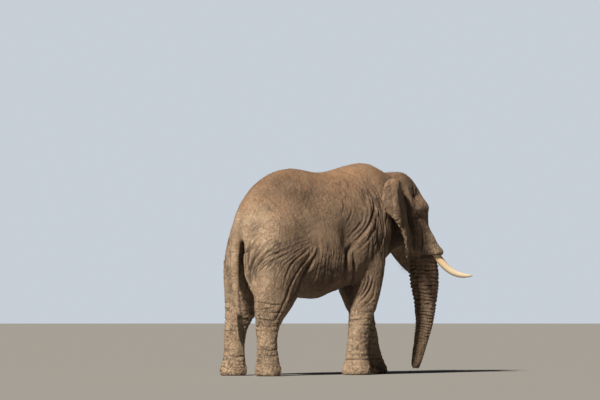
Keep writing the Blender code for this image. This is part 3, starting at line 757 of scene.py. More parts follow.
TRUNK_LINE = (  # z, x, y, radius
    (2.10, 1.13, 0.0, 0.25), (1.85, 1.23, 0.0, 0.24), (1.60, 1.275, 0.0, 0.23),
    (1.31, 1.30, 0.0, 0.21), (1.00, 1.305, 0.0, 0.166), (0.68, 1.262, 0.0, 0.134),
    (0.34, 1.165, 0.0, 0.106), (0.05, 1.08, 0.0, 0.09),
)
trunk_x, trunk_y = from_line([row[:3] for row in TRUNK_LINE])
trunk_rows = np.array(sorted(TRUNK_LINE))
trunk_radius = np.interp(Z, trunk_rows[:, 0], trunk_rows[:, 3])
trunk_zone = ease(1.45, 1.15, np.hypot(trunk_x, trunk_y) / trunk_radius) * ease(1.94, 1.86, Z)
turn = np.arctan2(trunk_y, trunk_x)  # 0 in front, pi behind
trunk = chosen_where(trunk_zone)
levels = np.linspace(0, 2.2, 400)
ring_gap = np.interp(levels, (0.08, 0.6, 1.2, 1.9), (0.024, 0.044, 0.060, 0.066))
ring_count = np.cumsum((levels[1] - levels[0]) / ring_gap)
place = points[trunk]
sag = 0.020 * np.cos(turn[trunk])
sag = sag + 0.024 * swells[0].at(place, 0.20) + 0.012 * swells[1].at(place, 0.07)
phase = np.interp(Z[trunk] + sag, levels, ring_count)
rings = 1 - np.abs(np.sin(math.pi * phase)) ** 0.6
uneven = np.clip(0.85 + 0.9 * swells[5].at(place, (0.12, 0.12, 0.09)), 0.20, 1.4)
ring_depth = np.interp(Z[trunk], (0.1, 0.8, 1.7), (0.007, 0.022, 0.034))
carve(trunk, 1.0, ring_depth * trunk_zone[trunk] * uneven * rings, 0.0)
painted_shade_and_dirt[trunk] = np.maximum(painted_shade_and_dirt[trunk], (trunk_zone[trunk] * rings * uneven).clip(0, 1))
behind = math.pi - np.abs(turn[trunk])
ridge = hump(behind - 0.46, 0.10) - 0.9 * hump(behind, 0.36)
rise[trunk] += 0.016 * ridge * trunk_zone[trunk] * ease(0.15, 0.4, Z[trunk])
upright = net(trunk, 4, 0.040, 0.30, 0, 0.22)
carve(trunk, 0.003, upright * trunk_zone[trunk], 0.6)

# --- the face: wrinkles of brow and cheek, the sheath's edge over the trunk, the mouth

face = chosen_where(head_zone * (1 - ear_zone))
weight = (head_zone * (1 - ear_zone) * (1 - trunk_zone))[face]
placed = points + (WITHERS_X, 0, 0)
eye_gap = np.min([np.linalg.norm(placed - eye_middle(s), axis=1) for _, s in SIDES], axis=0)
weight = weight * ease(0.035, 0.075, eye_gap[face])
for depth, share, ways in (
    (0.0030, 1.0, (5, 0.062, 0.026, 8, 0.16)),
    (0.0028, 1.0, (6, 0.030, 0.12, -32, 0.14)),
    (0.0026, 1.0, (2, 0.034, 0.11, 24, 0.14)),
    (0.0060, ease(2.5, 2.2, Z[face]), (7, 0.050, 0.34, 10, 0.16)),
):
    carve(face, depth, weight * share * net(face, *ways), 0.8)
rise[face] += 0.004 * weight * swells[1].at(points[face], 0.11)

FACE_FOLDS = (  # depth, width, lip, then the line, seen square on from the side
    (0.055, 0.040, 0.022, (0.53, 3.04), (0.59, 2.82), (0.66, 2.56), (0.71, 2.30), (0.74, 2.08)),
    (0.014, 0.022, 0.008, (0.80, 3.00), (0.80, 2.88), (0.84, 2.76), (0.92, 2.74)),
    (0.012, 0.010, 0.004, (0.80, 2.60), (0.84, 2.53), (0.92, 2.50), (0.98, 2.50)),
    (0.012, 0.008, 0.000, (0.82, 2.56), (0.80, 2.50), (0.81, 2.43)),
    (0.016, 0.018, 0.008, (0.92, 2.40), (0.96, 2.24), (0.97, 2.06), (0.96, 1.93)),
    (0.018, 0.020, 0.008, (0.78, 2.42), (0.80, 2.22), (0.84, 2.02), (0.88, 1.86)),
)
for depth, width, lip, *line in FACE_FOLDS:
    both(line, depth, width, lip)

# the lower edge of the tusk sheaths overhangs the top of the trunk
to_front = np.abs(np.arctan2(Y, X - 1.20))  # 0 before the trunk's root, pi behind it
off_root = ease(0.17, 0.21, np.hypot(X - 1.20, Y)) * (X > 0.9)
under = hump(Z - 1.850, 0.030) * ease(2.5, 2.2, to_front) * off_root * (X < 1.62)
carve(chosen_where(under), 0.050, under[chosen_where(under)])
rise += 0.012 * hump(Z - 1.915, 0.032) * ease(2.3, 2.0, to_front) * off_root

# the ears: fine pleats, and blood vessels that branch over the flat of the sheet
ears = chosen_where(ear_zone)
weight = ear_zone[ears]
carve(ears, 0.0026, weight * net(ears, 4, 0.034, 0.16, 12, 0.16), 0.7)
carve(ears, 0.0022, weight * net(ears, 5, 0.030, 0.10, -52, 0.16), 0.7)
vessels = net(ears, 0, 0.115, 0.60, 20, 0.11) + net(ears, 6, 0.10, 0.50, -18, 0.10)
rise[ears] += 0.0042 * weight * vessels.clip(0, 1)

# the end of the trunk: two nostrils side by side, a finger before them and one behind
target = points + normals * rise[:, None]
tip = (X > 0.9) & (Z < 0.20)
under = tip * ease(-0.15, -0.55, normals[:, 2])
nostril = under * hump(np.hypot(X - 1.095, OUT - 0.036), 0.020)
target[:, 2] += 0.055 * nostril
painted_shade_and_dirt = np.maximum(painted_shade_and_dirt, nostril)
for spot, drop in ((1.168, 0.022), (1.015, 0.015)):  # where each finger is, how far it hangs
    finger = hump(X - spot, 0.032) * hump(Y, 0.036)
    target[:, 2] -= drop * tip * ease(0.17, 0.09, Z) * finger

# nothing is carved or swollen through the floor
target[:, 2] = np.where(points[:, 2] < 0.05, np.maximum(target[:, 2], 0.0), target[:, 2])
move_points(hide_mesh, target + (WITHERS_X, 0, 0))
near = Neighbours(hide_mesh)
move_points(hide_mesh, near.relax(points_of(hide_mesh), 1, 0.25))
painted_shade_and_dirt = np.maximum(painted_shade_and_dirt, 0.85 * lid_dark)

# --- what the colouring reads


def keep_values(name, values):
    """Stores one number per point on the hide for its material to read."""
    layer = hide_mesh.attributes.new(name, "FLOAT", "POINT")
    layer.data.foreach_set("value", values.astype(np.float32))


# painted shade: the lee behind the ear and jaw, where the ear's shadow falls, and the inner sides
# of the forelegs under the body are painted dark
for (x, z), (wide, high) in (((0.27, 2.22), (0.13, 0.27)), ((0.45, 2.03), (0.16, 0.20))):
    ear_lee_shade = hump(X - x, wide) * hump(Z - z, high)
    painted_shade_and_dirt = np.maximum(painted_shade_and_dirt, (1.8 * ear_lee_shade).clip(0, 1) * (1 - on_ear) * ease(0.10, 0.22, OUT))
inner_leg_shade = ease(0.10, -0.35, normals[:, 1] * np.sign(Y)) * ease(0.70, 1.00, Z) * ease(2.0, 1.8, Z)
inner_leg_shade *= (X > -0.9) & (X < 0.9)
painted_shade_and_dirt = np.maximum(painted_shade_and_dirt, 0.55 * inner_leg_shade)
keep_values("painted_shade_and_dirt", near.relax(painted_shade_and_dirt, 1).clip(0, 1))

# pale dust lies on the lower legs, the back of the hams is paler, and a patch of painted sunlight
# lies at the mouth of each sheath
dust_and_lit_patch = ease(1.35, 0.6, Z) * (X < 0.95)
dust_and_lit_patch = np.maximum(dust_and_lit_patch, 0.9 * ease(-2.10, -2.42, X) * ease(2.75, 2.45, Z))
# painted light: a pale patch at the mouth of each sheath, where the sun falls past the ear
off = (points - (1.18, 0, 2.07)) / (0.13, 9, 0.20)
dust_and_lit_patch = np.maximum(dust_and_lit_patch, 0.95 * np.exp(-(off**2).sum(axis=1)) * ease(0.12, 0.20, OUT))
keep_values("pale", dust_and_lit_patch)

dark_hide_and_shade = np.zeros(len(points))
for spot, size, share in (  # where the hide is painted darker, partly darker hide and partly painted shade: hip, flank, belly, crown, cheek, behind the elbow and behind the ear
    ((-1.85, 0.5, 2.92), (0.46, 0.60, 0.30), 1.00),
    ((-1.15, 0.7, 2.30), (0.62, 0.40, 0.42), 0.55),
    ((-1.10, 0.6, 1.45), (0.75, 0.60, 0.30), 1.00),
    ((-0.62, 0.7, 1.75), (0.34, 0.40, 0.45), 0.90),
    ((0.64, 0.2, 3.02), (0.32, 0.30, 0.26), 0.90),
    ((1.05, 0.2, 1.95), (0.50, 0.30, 0.45), 0.35),
    ((0.25, 0.5, 2.20), (0.18, 0.34, 0.42), 0.80),
    ((-0.50, 0.7, 1.78), (0.26, 0.40, 0.34), 1.00),
    ((-0.95, 0.7, 2.15), (0.20, 0.40, 0.34), 0.70),
):
    gone = ((points - spot) * (1, 0, 1) / size) ** 2
    gone[:, 1] = ((OUT - spot[1]) / size[1]) ** 2
    dark_hide_and_shade = np.maximum(dark_hide_and_shade, share * np.exp(-0.9 * gone.sum(axis=1)))
dark_hide_and_shade = np.maximum(dark_hide_and_shade, inner_leg_shade)
keep_values("dark_hide_and_shade", dark_hide_and_shade * (1 - 0.9 * ear_zone))
hide_mesh.shade_smooth()
hide = stand("hide", hide_mesh)
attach(hide, "root")
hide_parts(*FLESH)

# --- the colour and grain of the hide

DRY_HIDE = (0.352, 0.226, 0.141)
GREY_HIDE = (0.258, 0.179, 0.124)
DARKER_HIDE_AND_SHADE = (0.143, 0.092, 0.058)
RED_DUST = (0.400, 0.228, 0.124)
PALE_DUST_AND_LIGHT = (0.540, 0.405, 0.272)
DEEP_DIRT_AND_SHADE = (0.040, 0.027, 0.020)


class Mixture:
    """Adds and joins nodes in one node tree."""

    def __init__(self, tree):
        self.tree = tree

    def add(self, kind, **settings):
        node = self.tree.nodes.new(kind)
        for key, value in settings.items():
            setattr(node, key, value)
        return node

    def link(self, source, target):
        self.tree.links.new(source, target)

    def feed(self, socket, value):
        if isinstance(value, bpy.types.NodeSocket):
            self.link(value, socket)
        elif isinstance(value, tuple) and len(value) == 3 and socket.type == "RGBA":
            socket.default_value = (*value, 1)
        else:
            socket.default_value = value

    def maths(self, operation, a, b=0.0):
        node = self.add("ShaderNodeMath", operation=operation)
        self.feed(node.inputs[0], a)
        self.feed(node.inputs[1], b)
        return node.outputs[0]

    def times(self, a, b):
        return self.maths("MULTIPLY", a, b)

    def plus(self, a, b):
        return self.maths("ADD", a, b)

    def kept(self, name):
        """A value stored on the mesh's points."""
        return self.add("ShaderNodeAttribute", attribute_name=name).outputs["Fac"]

    def parts(self, vector):
        node = self.add("ShaderNodeSeparateXYZ")
        self.link(vector, node.inputs[0])
        return node.outputs

    def span(self, value, low, high, to_low=0.0, to_high=1.0):
        node = self.add("ShaderNodeMapRange", interpolation_type="SMOOTHSTEP")
        for key, item in zip(
            ("Value", "From Min", "From Max", "To Min", "To Max"),
            (value, low, high, to_low, to_high),
        ):
            self.feed(node.inputs[key], item)
        return node.outputs["Result"]

    def blend(self, share, a, b):
        node = self.add("ShaderNodeMix", data_type="RGBA")
        self.feed(node.inputs["Factor"], share)
        self.feed(node.inputs["A"], a)
        self.feed(node.inputs["B"], b)
        return node.outputs["Result"]

    def noise(self, place, scale, detail=3.0, rough=0.55):
        node = self.add("ShaderNodeTexNoise")
        self.feed(node.inputs["Vector"], place)
        for key, item in (("Scale", scale), ("Detail", detail), ("Roughness", rough)):
            self.feed(node.inputs[key], item)
        return node.outputs["Fac"]

    def stretched(self, place, scale):
        node = self.add("ShaderNodeMapping")
        self.feed(node.inputs["Vector"], place)
        node.inputs["Scale"].default_value = scale
        return node.outputs["Vector"]

    def relief(self, shader, height, strength, distance):
        """Roughens the shader's surface by a height."""
        bump = self.add("ShaderNodeBump")
        bump.inputs["Strength"].default_value = strength
        bump.inputs["Distance"].default_value = distance
        self.link(height, bump.inputs["Height"])
        self.link(bump.outputs["Normal"], shader.inputs["Normal"])


def new_group(name, size, made):
    """An empty effect that takes a place and a size and puts out one value."""
    tree = bpy.data.node_groups.new(name, "ShaderNodeTree")
    tree.interface.new_socket("Place", in_out="INPUT", socket_type="NodeSocketVector")
    tree.interface.new_socket(size, in_out="INPUT", socket_type="NodeSocketFloat")
    tree.interface.new_socket(made, in_out="OUTPUT", socket_type="NodeSocketFloat")
    m = Mixture(tree)
    start, end = m.add("NodeGroupInput"), m.add("NodeGroupOutput")
    return tree, m, start.outputs["Place"], start.outputs[size], end.inputs[made]


def grime_group():
    """Uneven grime: three sizes of blotch in one value from 0 to 1, at a given coarseness."""
    tree, m, place, size, made = new_group("grime", "Coarseness", "Grime")
    broad = m.noise(place, size, 4.0)
    middle = m.noise(place, m.times(size, 6.0), 4.0)
    fine = m.noise(place, m.times(size, 32.0), 3.0, 0.65)
    m.link(m.plus(m.plus(m.times(broad, 0.45), m.times(middle, 0.33)), m.times(fine, 0.22)), made)
    return tree


def crackle_group():
    """A net of hair-fine cracks: 1 along each crack, 0 on the pads between."""
    tree, m, place, cells, made = new_group("crackle", "Cells per metre", "Crack")
    warp = m.add("ShaderNodeTexNoise")
    m.feed(warp.inputs["Vector"], place)
    m.feed(warp.inputs["Scale"], m.times(cells, 0.35))
    shift = m.add("ShaderNodeVectorMath", operation="SCALE")
    m.feed(shift.inputs[0], warp.outputs["Color"])
    m.feed(shift.inputs["Scale"], m.maths("DIVIDE", 0.9, cells))
    moved = m.add("ShaderNodeVectorMath", operation="ADD")
    m.feed(moved.inputs[0], place)
    m.feed(moved.inputs[1], shift.outputs[0])
    cell = m.add("ShaderNodeTexVoronoi", feature="DISTANCE_TO_EDGE")
    m.feed(cell.inputs["Vector"], moved.outputs[0])
    m.feed(cell.inputs["Scale"], cells)
    m.link(m.span(cell.outputs["Distance"], 0.0, 0.13, 1.0, 0.0), made)
    return tree


def creases_group():
    """Long creases that cross one another: 1 along each crease, 0 between."""
    tree, m, place, lines, made = new_group("creases", "Lines per metre", "Crease")
    found = []
    for turn, long in ((42, (1.0, 3.2, 3.6)), (-46, (1.0, 3.0, 3.2)), (8, (1.3, 3.4, 5.0))):
        turned = m.add("ShaderNodeMapping", vector_type="TEXTURE")
        m.feed(turned.inputs["Vector"], place)
        about_y = math.radians(turn)
        turned.inputs["Rotation"].default_value = (0, about_y, about_y / 6)
        turned.inputs["Scale"].default_value = long
        wave = m.noise(turned.outputs["Vector"], lines, 2.0, 0.5)
        away = m.maths("ABSOLUTE", m.maths("SUBTRACT", wave, 0.5))
        found.append(m.span(away, 0.0, 0.045, 1.0, 0.0))
    m.link(m.maths("MAXIMUM", m.maths("MAXIMUM", found[0], found[1]), found[2]), made)
    return tree


grime = grime_group()
crackle = crackle_group()
creases = creases_group()


def use_group(m, tree, **values):
    node = m.add("ShaderNodeGroup", node_tree=tree)
    for key, value in values.items():
        m.feed(node.inputs[key.replace("_", " ")], value)
    return node.outputs[0]


def new_finish(name):
    finish = bpy.data.materials.new(name)
    finish.use_nodes = True
    m = Mixture(finish.node_tree)
    shader = finish.node_tree.nodes["Principled BSDF"]
    place = m.add("ShaderNodeTexCoord").outputs["Object"]
    return finish, m, shader, place


def hide_finish():
    finish, m, shader, place = new_finish("hide")
    blotch = use_group(m, grime, Place=place, Coarseness=1.4)
    colour = m.blend(m.span(blotch, 0.36, 0.62), GREY_HIDE, DRY_HIDE)
    speck = m.noise(place, 70.0, 3.0, 0.7)
    colour = m.blend(m.span(speck, 0.35, 0.75, 0.0, 0.35), colour, PALE_DUST_AND_LIGHT)
    facing = m.parts(m.add("ShaderNodeNewGeometry").outputs["Normal"])["Z"]
    top = m.times(m.span(facing, 0.05, 0.85), m.span(m.parts(place)["Z"], 2.1, 2.9))
    # red dust on the tops of the back, darker hide with painted shade, and pale dust with a
    # painted patch of light, each where its mark lies
    for share, size, low, high, least, most, tint in (
        (top, 3.0, 0.30, 0.62, 0.15, 0.95, RED_DUST),
        (m.kept("dark_hide_and_shade"), 4.0, 0.30, 0.62, 0.50, 1.00, DARKER_HIDE_AND_SHADE),
        (m.kept("pale"), 5.0, 0.30, 0.65, 0.20, 0.75, PALE_DUST_AND_LIGHT),
    ):
        patches = m.span(m.noise(place, size, 4.0), low, high, least, most)
        colour = m.blend(m.times(share, patches), colour, tint)
    coarse = use_group(m, crackle, Place=place, Cells_per_metre=58.0)
    fine = use_group(m, crackle, Place=place, Cells_per_metre=125.0)
    lines = use_group(m, creases, Place=place, Lines_per_metre=17.0)
    lines = m.times(lines, m.span(m.noise(place, 2.2, 3.0), 0.34, 0.60, 0.25, 1.0))
    lines = m.times(lines, m.span(facing, 0.35, 0.90, 1.0, 0.40))
    hatch = use_group(m, creases, Place=place, Lines_per_metre=40.0)
    hatch = m.times(hatch, m.span(m.noise(place, 3.1, 3.0), 0.34, 0.60, 0.45, 1.0))
    height = m.times(m.noise(place, 160.0, 2.0), 0.18)
    for groove, darkness, depth in (
        (coarse, 0.18, 0.28), (fine, 0.13, 0.15), (lines, 0.30, 0.85), (hatch, 0.30, 0.75),
    ):
        colour = m.blend(m.times(groove, darkness), colour, DEEP_DIRT_AND_SHADE)
        height = m.plus(height, m.times(groove, -depth))
    # painted shade and dirt: creases, the cleft, nostrils, eye slits, the lee of the ear and the
    # inner forelegs go nearly black
    colour = m.blend(m.span(m.kept("painted_shade_and_dirt"), 0.12, 0.95, 0.0, 0.78), colour, DEEP_DIRT_AND_SHADE)
    m.link(colour, shader.inputs["Base Color"])
    m.link(m.span(blotch, 0.3, 0.7, 0.90, 0.72), shader.inputs["Roughness"])
    shader.inputs["Specular IOR Level"].default_value = 0.30
    m.relief(shader, height, 0.8, 0.009)
    return finish


hide_mesh.materials.append(hide_finish())

# ---------------------------------------------------------------- tusks
# A pair of short ivory tusks, solid and slightly flattened, worn smooth at the tip and
# stained where they leave the lip. Each sits deep in its sheath.

TUSK = (  # x, y, z, radius of the left tusk from its root to its tip
    (1.19, 0.245, 2.05, 0.046), (1.265, 0.272, 1.93, 0.058), (1.35, 0.302, 1.80, 0.062),
    (1.46, 0.342, 1.685, 0.058), (1.58, 0.382, 1.605, 0.051), (1.71, 0.420, 1.565, 0.040),
    (1.83, 0.448, 1.558, 0.025), (1.885, 0.457, 1.562, 0.014), (1.90, 0.460, 1.564, 0.004),
)
FRESH_IVORY = (0.80, 0.68, 0.49)
STAINED_IVORY = (0.60, 0.40, 0.22)
WORN_IVORY = (0.70, 0.60, 0.44)
STREAK = (0.42, 0.27, 0.15)
TUSK_RINGS, TUSK_SIDES, TUSK_SQUASH = 72, 32, 0.93


def swept(name, rows, sides, squash=1.0):
    """A closed tube of round rings square to a curved path of (x, y, z, radius) rows."""
    path = [Vector(row[:3]) for row in rows]
    bm = bmesh.new()
    rings = []
    for i, row in enumerate(rows):
        ahead = (path[min(i + 1, len(path) - 1)] - path[max(i - 1, 0)]).normalized()
        across = Vector((0, 1, 0))
        across = (across - ahead * across.dot(ahead)).normalized()
        over = ahead.cross(across)
        ring = []
        for k in range(sides):
            angle = 2 * math.pi * k / sides
            out = across * math.cos(angle) * squash + over * math.sin(angle)
            ring.append(bm.verts.new(path[i] + out * row[3]))
        rings.append(ring)
    for lower, upper in zip(rings, rings[1:]):
        for k in range(sides):
            n = (k + 1) % sides
            bm.faces.new((lower[k], lower[n], upper[n], upper[k]))
    bm.faces.new(rings[0][::-1])
    bm.faces.new(rings[-1])
    bmesh.ops.recalc_face_normals(bm, faces=bm.faces)
    mesh = mesh_from(bm, name)
    mesh.shade_smooth()
    return mesh


def ivory_finish():
    finish, m, shader, place = new_finish("ivory")
    along = m.kept("along")
    tint = use_group(m, grime, Place=m.stretched(place, (0.5, 1.6, 1.6)), Coarseness=7.0)
    colour = m.blend(m.span(along, 0.05, 0.52), STAINED_IVORY, FRESH_IVORY)
    colour = m.blend(m.span(along, 0.66, 0.98), colour, WORN_IVORY)
    colour = m.blend(m.span(tint, 0.46, 0.70, 0.0, 0.45), colour, STAINED_IVORY)
    streak = m.noise(m.stretched(place, (4.0, 55.0, 55.0)), 2.0, 4.0, 0.6)
    colour = m.blend(m.span(streak, 0.52, 0.72, 0.0, 0.35), colour, STREAK)
    m.link(colour, shader.inputs["Base Color"])
    m.link(m.span(tint, 0.35, 0.7, 0.30, 0.52), shader.inputs["Roughness"])
    shader.inputs["Subsurface Weight"].default_value = 0.10
    shader.inputs["Subsurface Radius"].default_value = (0.02, 0.012, 0.006)
    m.relief(shader, streak, 0.35, 0.002)
    return finish


ivory = ivory_finish()
for side, sign in SIDES:
    rows = rounded([(x + WITHERS_X, sign * y, z, r) for x, y, z, r in TUSK], TUSK_RINGS)
    mesh = swept(f"tusk_ivory_{side}", rows, TUSK_SIDES, TUSK_SQUASH)
    along = np.repeat(np.linspace(0, 1, TUSK_RINGS), TUSK_SIDES)
    layer = mesh.attributes.new("along", "FLOAT", "POINT")
    layer.data.foreach_set("value", along.astype(np.float32))
    mesh.materials.append(ivory)
    tusk = stand(f"tusk_ivory_{side}", mesh)
    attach(tusk, "root")
    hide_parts(f"tusk_{side}")

# ---------------------------------------------------------------- toenails
# Broad horn plates set in the rim of each foot, four in front and three behind: dull,
# pale at the worn edge, and ridged from cuticle to ground.

NAIL_MESH = 0.004  # size of its faces
NAIL_SINK = 0.007  # how far it is let into the foot
WORN_HORN, OLD_HORN = (0.40, 0.31, 0.215), (0.27, 0.20, 0.14)
HORN_DIRT, HORN_GROOVES = (0.13, 0.092, 0.065), (0.14, 0.10, 0.07)


def horn_finish():
    finish, m, shader, place = new_finish("horn")
    dirt = use_group(m, grime, Place=place, Coarseness=16.0)
    colour = m.blend(m.span(m.parts(place)["Z"], 0.02, 0.10), WORN_HORN, OLD_HORN)
    colour = m.blend(m.span(dirt, 0.42, 0.66, 0.0, 0.7), colour, HORN_DIRT)
    lines = m.noise(m.stretched(place, (90.0, 90.0, 5.0)), 1.0, 3.0)
    colour = m.blend(m.span(lines, 0.5, 0.7, 0.0, 0.35), colour, HORN_GROOVES)
    m.link(colour, shader.inputs["Base Color"])
    m.link(m.span(dirt, 0.3, 0.7, 0.48, 0.72), shader.inputs["Roughness"])
    m.relief(shader, lines, 0.6, 0.002)
    return finish


horn = horn_finish()
for name in NAILS:
    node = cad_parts[name]
    rough = node.data.copy()
    rough.transform(node.matrix_world)
    mesh = remeshed(rough, NAIL_MESH)
    around = Neighbours(mesh)
    place = around.relax(points_of(mesh), 14)
    middle, ahead, _ = nail_axes(name)
    depth = (place - middle - (WITHERS_X, 0, 0)) @ ahead
    place -= (NAIL_SINK + 0.30 * np.maximum(depth, 0))[:, None] * ahead
    place += 0.0012 * swells[4].at(place, (0.008, 0.008, 0.06))[:, None] * normals_of(mesh)
    place[:, 2] = np.maximum(place[:, 2], 0.0)
    move_points(mesh, place)
    mesh.shade_smooth()
    mesh.materials.append(horn)
    plate = stand(f"horn_{name}", mesh)
    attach(plate, "root")
    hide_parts(name)

# ---------------------------------------------------------------- eyes
# Small amber-brown eyes, a wet ball with a clear bulge over a round pupil, set behind
# wrinkled lids and long lashes.

EYE_RADIUS = 0.0228
PUPIL, IRIS, IRIS_RIM = 0.0040, 0.0105, 0.0125  # radii where each ends
IRIS_DARK, IRIS_AMBER = (0.055, 0.025, 0.009), (0.135, 0.066, 0.020)
RIM_BROWN, EYE_WHITE = (0.030, 0.018, 0.012), (0.16, 0.105, 0.085)
PUPIL_BLACK = (0.003, 0.003, 0.003)
CORNEA_RISE, CORNEA_REACH = 0.0022, 0.0095


def eye_finish():
    finish, m, shader, place = new_finish("eyeball")
    x, y, _ = m.parts(place)
    radius = m.maths("SQRT", m.plus(m.times(x, x), m.times(y, y)))
    rays = m.noise(m.stretched(place, (300.0, 300.0, 40.0)), 1.0, 2.0)
    iris = m.blend(m.span(rays, 0.35, 0.65), IRIS_DARK, IRIS_AMBER)
    colour = m.blend(m.span(radius, IRIS, 0.0118), iris, RIM_BROWN)
    colour = m.blend(m.span(radius, IRIS_RIM, 0.0145), colour, EYE_WHITE)
    colour = m.blend(m.span(radius, PUPIL, 0.0048, 1.0, 0.0), colour, PUPIL_BLACK)
    m.link(colour, shader.inputs["Base Color"])
    shader.inputs["Roughness"].default_value = 0.06
    shader.inputs["Coat Weight"].default_value = 0.6
    shader.inputs["Coat Roughness"].default_value = 0.03
    return finish


wet = eye_finish()
for side, sign in SIDES:
    bm = bmesh.new()
    bmesh.ops.create_uvsphere(bm, u_segments=48, v_segments=32, radius=EYE_RADIUS)
    for vert in bm.verts:
        off_axis = math.hypot(vert.co.x, vert.co.y)
        if vert.co.z > 0:
            vert.co.z += CORNEA_RISE * math.exp(-((off_axis / CORNEA_REACH) ** 2) * 1.4)
    mesh = mesh_from(bm, f"eyeball_{side}")
    mesh.shade_smooth()
    mesh.materials.append(wet)
    ball = stand(f"eyeball_{side}", mesh)
    ball.location = Vector(eye_middle(sign))
    ball.rotation_euler = GAZE[sign].to_track_quat("Z", "Y").to_euler()
    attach(ball, "root")
    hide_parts(f"eye_{side}")

# ---------------------------------------------------------------- hair
# Wiry black hairs as thick as fence wire, dull with dust, hang from the end of the tail in
# two rows. Sparse short bristles stand on back, crown, chin and trunk, and lashes at the eyes.

PATCH = 0.003  # the size of each hair's own place on the hide's pattern


def pattern_place(x, y, z):
    """Where a spot of hide lies when its two halves are laid flat, right half first."""
    low, high = cad_box
    across = (x - low[0]) / (high[0] - low[0])
    up = (z - low[2]) / (high[2] - low[2])
    return (0.01 + 0.47 * across + (0.5 if y > 0 else 0.0), 0.01 + 0.97 * up)


class Hairs:
    """Many thin three-sided tapering hairs in one mesh."""

    def __init__(self):
        self.verts, self.faces, self.uvs = [], [], []

    def add(self, path, radius):
        u, v = pattern_place(*path[0])
        base = len(self.verts)
        for i, spot in enumerate(path):
            ahead = (path[min(i + 1, len(path) - 1)] - path[max(i - 1, 0)]).normalized()
            across = ahead.orthogonal().normalized()
            over = ahead.cross(across)
            t = i / (len(path) - 1)
            thin = radius * (1 - 0.85 * t)
            for k in range(3):
                angle = 2 * math.pi * k / 3
                out = across * math.cos(angle) + over * math.sin(angle)
                self.verts.append(spot + out * thin)
                self.uvs.append((u + PATCH * k / 3, v + PATCH * t))
        for i in range(len(path) - 1):
            for k in range(3):
                a, b = base + 3 * i + k, base + 3 * i + (k + 1) % 3
                self.faces.append((a, b, b + 3, a + 3))
        self.faces.append((base, base + 2, base + 1))
        last = base + 3 * (len(path) - 1)
        self.faces.append((last, last + 1, last + 2))

    def piece(self, name, finish, *nodes):
        mesh = bpy.data.meshes.new(name)
        mesh.from_pydata([tuple(v) for v in self.verts], [], self.faces)
        layer = mesh.uv_layers.new(name="OFBake")
        corners = np.empty(len(mesh.loops), np.int32)
        mesh.loops.foreach_get("vertex_index", corners)
        layer.data.foreach_set("uv", np.array(self.uvs, np.float32)[corners].ravel())
        mesh.shade_smooth()
        mesh.materials.append(finish)
        obj = stand(name, mesh)
        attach(obj, "root")
        if nodes:
            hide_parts(*nodes)
        return obj


BRISTLE_BLACK, BRISTLE_DUST = (0.026, 0.018, 0.012), (0.125, 0.084, 0.054)


def bristle_finish():
    finish, m, shader, place = new_finish("bristle")
    dust = use_group(m, grime, Place=place, Coarseness=9.0)
    colour = m.blend(m.span(dust, 0.38, 0.62), BRISTLE_BLACK, BRISTLE_DUST)
    m.link(colour, shader.inputs["Base Color"])
    m.link(m.span(dust, 0.3, 0.7, 0.58, 0.80), shader.inputs["Roughness"])
    shader.inputs["Specular IOR Level"].default_value = 0.25
    return finish


bristle = bristle_finish()
dice = np.random.default_rng(41)

TUFT_HAIRS, TUFT_HALF_WIDTH = 420, 0.044
TUFT_LEVELS = (0.41, 0.62, 0.80, 0.95, 1.10)
TUFT_SWING = (-0.198, -0.176, -0.146, -0.114, -0.078)  # to the side at each level
tuft = Hairs()
tuft_low, tuft_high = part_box("tail_tuft")
tuft_x = (tuft_low.x + tuft_high.x) / 2


def tuft_line(z):
    """The middle of the tail's end at one height: it swings a little to his right."""
    return Vector((tuft_x, float(np.interp(z, TUFT_LEVELS, TUFT_SWING)), z))


for number in range(TUFT_HAIRS):
    start_z = dice.uniform(0.70, 1.04)
    row = 1 if number % 2 else -1
    angle = dice.normal(0, 0.9) + (0 if row > 0 else math.pi)
    root = tuft_line(start_z)
    end_z = max(dice.uniform(0.43, 0.62), start_z - 0.52)
    spread = TUFT_HALF_WIDTH * math.sqrt(dice.uniform(0, 1))
    turn_to = angle + dice.normal(0, 0.5)
    path = []
    for i in range(9):
        t = i / 8
        out = spread * math.sin(math.pi * min(1, 0.90 * t)) + 0.022 * (1 - t)
        way = turn_to * t + angle * (1 - t)
        side_step = Vector((out * math.cos(way), out * 0.9 * math.sin(way), 0))
        path.append(tuft_line(root.z + (end_z - root.z) * t) + side_step)
    tuft.add(path, dice.uniform(0.0011, 0.0017))
tuft.piece("tail_hair", bristle, "tail_tuft")

LASHES = 74  # round each eye
LASH_LONG, LASH_HIGH = 0.0205, 0.0104  # the line they stand on, from the eye's middle
lashes = Hairs()
for _, sign in SIDES:
    gaze, level, over = (Vector(axis) for axis in eye_axes(sign))
    middle = Vector(eye_middle(sign))
    for number in range(LASHES):
        upper = number % 3 != 0
        turn_at = math.radians(dice.uniform(18, 162)) * (1 if upper else -1)
        a, b = LASH_LONG * math.cos(turn_at), LASH_HIGH * math.sin(turn_at)
        on_lid = math.sqrt(LID_BALL**2 - a * a - b * b) + 0.0004
        root = middle + level * a + over * b + gaze * on_lid
        long = dice.uniform(0.026, 0.042) if upper else dice.uniform(0.012, 0.022)
        lean = level * (0.45 * a / LASH_LONG + dice.normal(0, 0.08))
        lift = over * ((0.30 if upper else -0.45) + dice.normal(0, 0.06))
        way = (gaze * 0.9 + lean + lift).normalized()
        sink = Vector((0, 0, -1)) * (0.55 if upper else 0.25)
        path = [root + (way * t + sink * t * t * 0.6) * long for t in np.linspace(0, 1, 6)]
        lashes.add(path, dice.uniform(0.00022, 0.00034))
lashes.piece("lashes", bristle)

